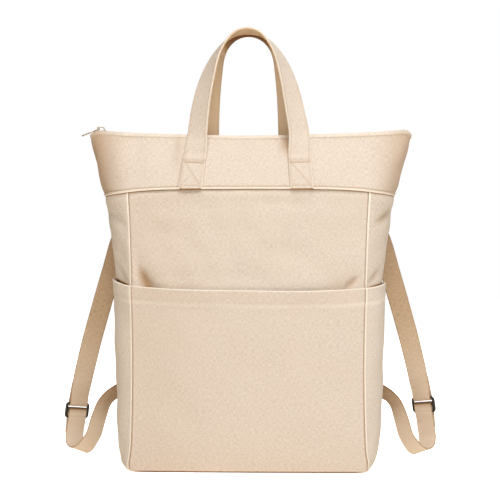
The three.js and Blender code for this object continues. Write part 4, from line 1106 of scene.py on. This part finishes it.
def tube(path, sideways, outward, wide, deep, closed):
    # oval section carried along a path: half width along sideways, half depth along outward
    angle = np.linspace(0, 2 * math.pi, 13)[:-1]
    ring = (sideways[:, None] * np.broadcast_to(wide, len(path))[:, None, None] * np.cos(angle)[None, :, None]
            + outward[:, None] * (deep * np.sin(angle))[None, :, None])
    points = path[:, None] + ring
    count, sides = points.shape[:2]
    i, j = np.meshgrid(np.arange(count if closed else count - 1), np.arange(sides), indexing="ij")
    a, b = i * sides + j, i * sides + (j + 1) % sides
    c, d = ((i + 1) % count) * sides + (j + 1) % sides, ((i + 1) % count) * sides + j
    faces = np.stack([a, b, c, d], -1).reshape(-1, 4).tolist()
    if not closed:
        faces += [list(range(sides))[::-1], list(range((count - 1) * sides, count * sides))]
    return points.reshape(-1, 3), faces


def buckleMesh(name, course, middle, mirror):
    # rounded frame and a middle bar, in the plane of the webbing
    centre, along, across, face = (v[0] for v in strapAt(course, np.array([middle])))
    up = -along
    plane = unit(np.cross(across, up))
    barHalf, sideHalf, deep = (buckleForm[size] / 2 for size in ("bar", "side", "thick"))
    radius = buckleForm["corner"]
    x = buckleForm["width"] / 2 - sideHalf
    y = (3 * buckleForm["bar"] + 2 * buckleForm["slot"]) / 2 - barHalf
    corners = np.array([(1, 1), (-1, 1), (-1, -1), (1, -1)]) * (x - radius, y - radius)
    angle = np.linspace(0, math.pi / 2, 7) + np.arange(4)[:, None] * math.pi / 2
    flat = (corners[:, None] + radius * np.stack([np.cos(angle), np.sin(angle)], -1)).reshape(-1, 2)
    ahead = unit(np.roll(flat, -1, axis=0) - np.roll(flat, 1, axis=0))
    out = np.stack([ahead[:, 1], -ahead[:, 0]], -1)

    def inPlane(p):
        return p[:, :1] * across + p[:, 1:] * up
    loop, loopFaces = tube(centre + inPlane(flat), inPlane(out), np.tile(plane, (len(flat), 1)),
                           barHalf + (sideHalf - barHalf) * np.abs(out[:, 0]), deep, True)
    barLine = singleRun(-x, x, 9)
    bar, barFaces = tube(centre + inPlane(barLine), np.tile(up, (9, 1)), np.tile(plane, (9, 1)), barHalf,
                         deep, False)
    points = np.vstack([loop, bar])
    faces = loopFaces + [[v + len(loop) for v in f] for f in barFaces]
    if mirror:
        points, faces = points * flipX, [f[::-1] for f in faces]
    return makeObject(name, points, faces)


strapSides = (dict(word="Left", mirror=False, buckleZ=63.6, reach=1.0),
              dict(word="Right", mirror=True, buckleZ=72.4, reach=0.99))
pitch = buckleForm["bar"] + buckleForm["slot"]
for plan in strapSides:
    word, lower, mirror = plan["word"], plan["word"].lower(), plan["mirror"]
    course = strapCourse(plan["reach"])
    falling = course["length"] < course["length"][-1] * 0.6  # before the loop at the bottom
    middle = float(np.interp(-plan["buckleZ"], -course["line"][falling][:, 2], course["length"][falling]))
    top, bottom, total = middle - pitch, middle + pitch, course["length"][-1]
    strap = strapShell(f"shoulderStrap{word}", course, upperRows(top), mirror, upperShades(top))
    put(strap, webbing, "webbing", f"shoulder_strap_{lower}")
    strap = strapShell(f"lowerStrap{word}", course, lowerRows(middle, bottom, total), mirror, lowerShades)
    put(strap, webbing, "webbing", f"lower_strap_{lower}")
    buckle = buckleMesh(f"strapBuckle{word}", course, middle, mirror)
    put(buckle, gunmetal, "buckle_metal", f"strap_buckle_{lower}")
print("straps made")


# Zip: the metal keeps its solids, the teeth and tapes are made finer
for nodeName in ("zip_slider", "zip_puller"):
    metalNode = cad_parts[nodeName]
    metalNode.data.materials.clear()
    metalNode.data.materials.append(nickel)
zipForm = dict(tapeThick=1.0, tapeWide=8, tapeDrop=2.2, tapeRun=186, tapeEnd=193, meet=0.2,
               teethWide=6.0, teethHigh=2.4, teethDrop=0.5, left=-187.6, right=188.0, pitch=2.0,
               toothLong=1.25, toothWide=4.2, toothOff=0.9, toothTop=0.72)
topCorners = (-197, -143, 143, 197)  # side seams and corners along the top edge


def zipTapeShell(name, node, back):
    # flat strip from the teeth out to the yoke's edge; past the last tooth the two tapes meet
    run = zipForm["tapeRun"]
    x = np.concatenate([np.linspace(-run, run, 120), np.linspace(run + 1, zipForm["tapeEnd"], 13)])
    s = np.interp(x, topCorners, (-2, -1, 1, 2))
    edge = yokePoint(s, np.full_like(x, topZ), np.zeros_like(x))
    share = np.array([0, 0.02, 0.1, 0.3, 0.6, 0.9, 1.0])[:, None]
    apart = fade(edge[:, 0], zipForm["right"] + 0.3, zipForm["right"] + 1.5)
    inner = -zipForm["meet"] - (zipForm["teethWide"] / 2 + sewnGap - zipForm["meet"]) * apart
    y = inner + (np.minimum(edge[:, 1] + 0.1, inner - 0.4) - inner)[None] * share
    z = topEdge(edge[:, 0]) - zipForm["tapeDrop"] + zipForm["tapeThick"] / 2
    middle = np.stack(np.broadcast_arrays(edge[:, 0], y, z), -1)[::-1]
    if back:
        middle = mirroredY(middle)
    rounded = edgeRound(share * zipForm["tapeWide"], 0.5)
    half = np.broadcast_to(zipForm["tapeThick"] / 2 * rounded, y.shape)[::-1]
    put(clothShell(name, middle, half, cut(middle[..., 0], middle[..., 1])), tapeCloth, "zip_tape", node)


zipTapeShell("zipTapeFront", "zip_tape_front", False)
zipTapeShell("zipTapeBack", "zip_tape_back", True)


def blocks(centre, size):
    # many small teeth: one block with narrowed top edges, set at each centre
    corner = np.array([(x, y, z) for z in (-1, 0.3, 1) for y in (-1, 1) for x in (-1, 1)], float)
    corner[corner[:, 2] > 0.9, :2] *= zipForm["toothTop"]
    points = centre[:, None] + corner * np.array(size) / 2
    base = [[0, 2, 3, 1], [8, 9, 11, 10]]
    for low in (0, 4):
        base += [[low, low + 1, low + 5, low + 4], [low + 1, low + 3, low + 7, low + 5],
                 [low + 3, low + 2, low + 6, low + 7], [low + 2, low, low + 4, low + 6]]
    faces = (np.array(base)[None] + len(corner) * np.arange(len(centre))[:, None, None]).reshape(-1, 4)
    return points.reshape(-1, 3), faces


def zipTeeth():
    # teeth of both rows in turn, each a little off the middle line
    x = np.arange(zipForm["left"] + 1, zipForm["right"] - 0.5, zipForm["pitch"])
    side = np.where(np.arange(len(x)) % 2 == 0, -1.0, 1.0)
    z = topEdge(x) - zipForm["teethDrop"] - zipForm["teethHigh"] / 2
    points, faces = blocks(np.stack([x, side * zipForm["toothOff"], z], -1),
                           (zipForm["toothLong"], zipForm["toothWide"], zipForm["teethHigh"]))
    return makeObject("zipTeeth", points, faces, points[:, :2], smooth=False)


put(zipTeeth(), tapeCloth, "zip_coil", "zip_teeth")
print("zip made")


# Sewing thread: short rounded stitches along lines on the cloth
stitchForm = dict(pitch=3.2, long=1.8, thick=0.42, sunk=0.12, proud=0.2)
stitchAngle = np.linspace(0, 2 * math.pi, 7)[:-1]
stitchRings = table("along thick", (-0.5, 0.35), (-0.3, 1.0), (0.3, 1.0), (0.5, 0.35))


def stitches(points, normals, shade=None):
    # capsules laid end to end along a line: place along the line, then the section round it
    pitch, run = stitchForm["pitch"], lengthAlong(points)
    at = np.arange(pitch / 2, run[-1], pitch)
    centre, up, ahead = (valuesAt(at, run, rows) for rows in (points, normals, np.gradient(points, axis=0)))
    ahead = unit(ahead)
    up = unit(up - ahead * (up * ahead).sum(-1, keepdims=True))
    side = np.cross(ahead, up)
    a, r = stitchRings["along"] * stitchForm["long"], (stitchRings["thick"] * stitchForm["thick"])[:, None]
    body = (ahead[:, None, None] * a[None, :, None, None]
            + up[:, None, None] * (r * np.cos(stitchAngle))[None, ..., None]
            + side[:, None, None] * (r * np.sin(stitchAngle))[None, ..., None])
    # painted shade of each stitch, read at its place along the line
    dark = np.interp(at, run, np.zeros(len(run)) if shade is None else shade)
    return (centre - up * stitchForm["sunk"])[:, None, None] + body, dark


def stitchObject(name, lines):
    # all stitches of the lines as one mesh: the wall of a capsule and two caps, repeated
    made = [stitches(*line) for line in lines]
    points, dark = (np.concatenate([part[n] for part in made]) for n in (0, 1))
    count, rings, sides = points.shape[:3]
    i, j = np.meshgrid(np.arange(rings - 1), np.arange(sides), indexing="ij")
    after = (j + 1) % sides
    wall = np.stack([i * sides + j, (i + 1) * sides + j, (i + 1) * sides + after, i * sides + after], -1)
    caps = np.array([[0, 1, 2, 3], [0, 3, 4, 5], [21, 20, 19, 18], [23, 22, 21, 18]])
    one = np.concatenate([wall.reshape(-1, 4), caps])
    faces = (one[None] + rings * sides * np.arange(count)[:, None, None]).reshape(-1, 4)
    flat = points.reshape(-1, 3)
    piece = makeObject(name, flat, faces, flat[:, [0, 2]], crease=np.repeat(dark, rings * sides))
    put(piece, sewingThread, "canvas")


def sewnLine(wall, out):
    # points of a wall and the way outward from them
    line = wall(out)
    return line, wall(out + 1) - line


def bodyLines():
    # along the yoke's fold and top hem, front and back, and along the three pocket hems
    lines = []
    foldZ = yokeSeamZ + yokeForm["fold"] / yokeForm["slope"]
    hemZ = topZ - yokeForm["hem"] / yokeForm["topSlope"]
    for end, count, z, over in ((1.985, 1600, foldZ, yokeForm["foldThick"] / 2),
                                (1.9, 1500, hemZ, stitchForm["proud"])):
        s = np.linspace(-end, end, count)
        line, out = sewnLine(lambda o: yokePoint(s, np.full(count, z), o),
                             np.full(count, sewnGap + clothThick + over))
        lines += [(line, out), (line * flipY, out * flipY)]
    for sign, end, count in ((0, 0.985, 900), (-1, 0.97, 400), (1, 0.97, 400)):
        a = np.linspace(-end, end, count)
        rim = pocketRim(a, sign)
        z = rim - pocketForm["hem"]
        gape = pocketGape(a, (z - pocketForm["footZ"]) / (rim - pocketForm["footZ"]), sign)
        lines.append(sewnLine(lambda o: pocketWall(a, z, o, sign),
                              sewnGap + gape + clothThick + stitchForm["proud"]))
    return lines


def handleLines(part):
    # two rows along the edges on both faces, and a crossed box on each foot
    centre, across, face, fromFoot = (part[name] for name in ("centre", "across", "face", "fromFoot"))
    lines = []
    for w, side in ((-stitchInset, 1), (-stitchInset, -1), (stitchInset, 1), (stitchInset, -1)):
        keep = fromFoot > (3 if side > 0 else 45)
        row = centre + across * w + face * (part["lift"] + side * part["top"])[:, None]
        # painted shade on the back handle's inner stitches under the arch
        shade = handleShadeForm["thread"] * smoothStep(fromFoot, *threadRun) * (part["dark"] and side < 0)
        lines.append((row[keep], side * face[keep], shade[keep]))
    seat = centre + face * (part["lift"] + part["top"])[:, None]
    low, high, count = boxForm["low"], boxForm["high"], 60
    wide = np.linspace(-stitchInset, stitchInset, count)[:, None]
    for foot in np.array_split(np.arange(len(centre)), 2):
        order = foot[np.argsort(fromFoot[foot])]
        for start, end in ((low, low), (high, high), (low, high), (high, low)):
            base, aside, out = (valuesAt(np.linspace(start, end, count), fromFoot[order], rows[order])
                                for rows in (seat, across, face))
            lines.append((base + aside * wide, out))
    return lines


stitchObject("bodyStitches", bodyLines())
stitchObject("handleStitches", handleLines(handles[0]) + handleLines(handles[1]))
print("stitches made")


# Pale floor and soft studio light
stageForm = dict(floor=6.0, floorColour=(0.9, 0.9, 0.9), floorRough=0.9, floorGlow=(0.30, 0.24, 0.162),
                 sky=(0.11, 0.086, 0.058), aimZ=0.25, lampSize=1.2)
white = (1.0, 1.0, 1.0)
corners = np.array([(-1, -1, 0), (1, -1, 0), (1, 1, 0), (-1, 1, 0)])
floor = makeObject("floor", corners * stageForm["floor"] / mm, [[0, 1, 2, 3]], smooth=False)
floorMaterial, floorTree, floorShader = newMaterial("paleFloor")
floorShader.inputs["Base Color"].default_value = (*stageForm["floorColour"], 1)
floorShader.inputs["Roughness"].default_value = stageForm["floorRough"]
# the floor glows: pure white where the camera sees it, and elsewhere a dim warm glow that lights the bag from
# below
floorSeen = floorTree.nodes.new("ShaderNodeLightPath").outputs["Is Camera Ray"]
floorTree.links.new(mixColour(floorTree, floorSeen, stageForm["floorGlow"], white),
                    floorShader.inputs["Emission Color"])
floorShader.inputs["Emission Strength"].default_value = 1.0
floor.data.materials.append(floorMaterial)

world = bpy.data.worlds.new("studio")
bpy.context.scene.world = world
world.use_nodes = True
skyTree = world.node_tree
sky = skyTree.nodes["Background"]
skySeen = skyTree.nodes.new("ShaderNodeLightPath").outputs["Is Camera Ray"]
skyTree.links.new(mixColour(skyTree, skySeen, stageForm["sky"], white), sky.inputs["Color"])
sky.inputs["Strength"].default_value = 1.0


def softLight(name, place, watts, colour=white, aimZ=stageForm["aimZ"], size=stageForm["lampSize"]):
    # round lamp turned towards the middle of the bag
    data = bpy.data.lights.new(name, "AREA")
    data.shape = "DISK"
    data.size = size
    data.energy = watts
    data.color = colour
    lamp = bpy.data.objects.new(name, data)
    lamp.location = place
    x, y, z = place
    lamp.rotation_euler = (math.atan2(math.hypot(x, y), z - aimZ), 0, math.atan2(x, -y))
    bpy.context.scene.collection.objects.link(lamp)


softLight("topLight", (0.15, -0.9, 2.3), 36)
softLight("frontLight", (0.1, -2.4, 0.7), 12)
softLight("keyLight", (0.9, -1.5, 1.9), 7)
softLight("sideLight", (1.8, -0.3, 0.9), 4)
softLight("backLight", (0.5, 2.4, 1.3), 14)
softLight("fillLight", (-1.6, -1.3, 0.5), 3.6, (1.0, 0.86, 0.66), 0.2, 1.4)
bpy.context.scene.view_settings.view_transform = "Standard"
bpy.context.scene.view_settings.look = "None"
print("stage set")
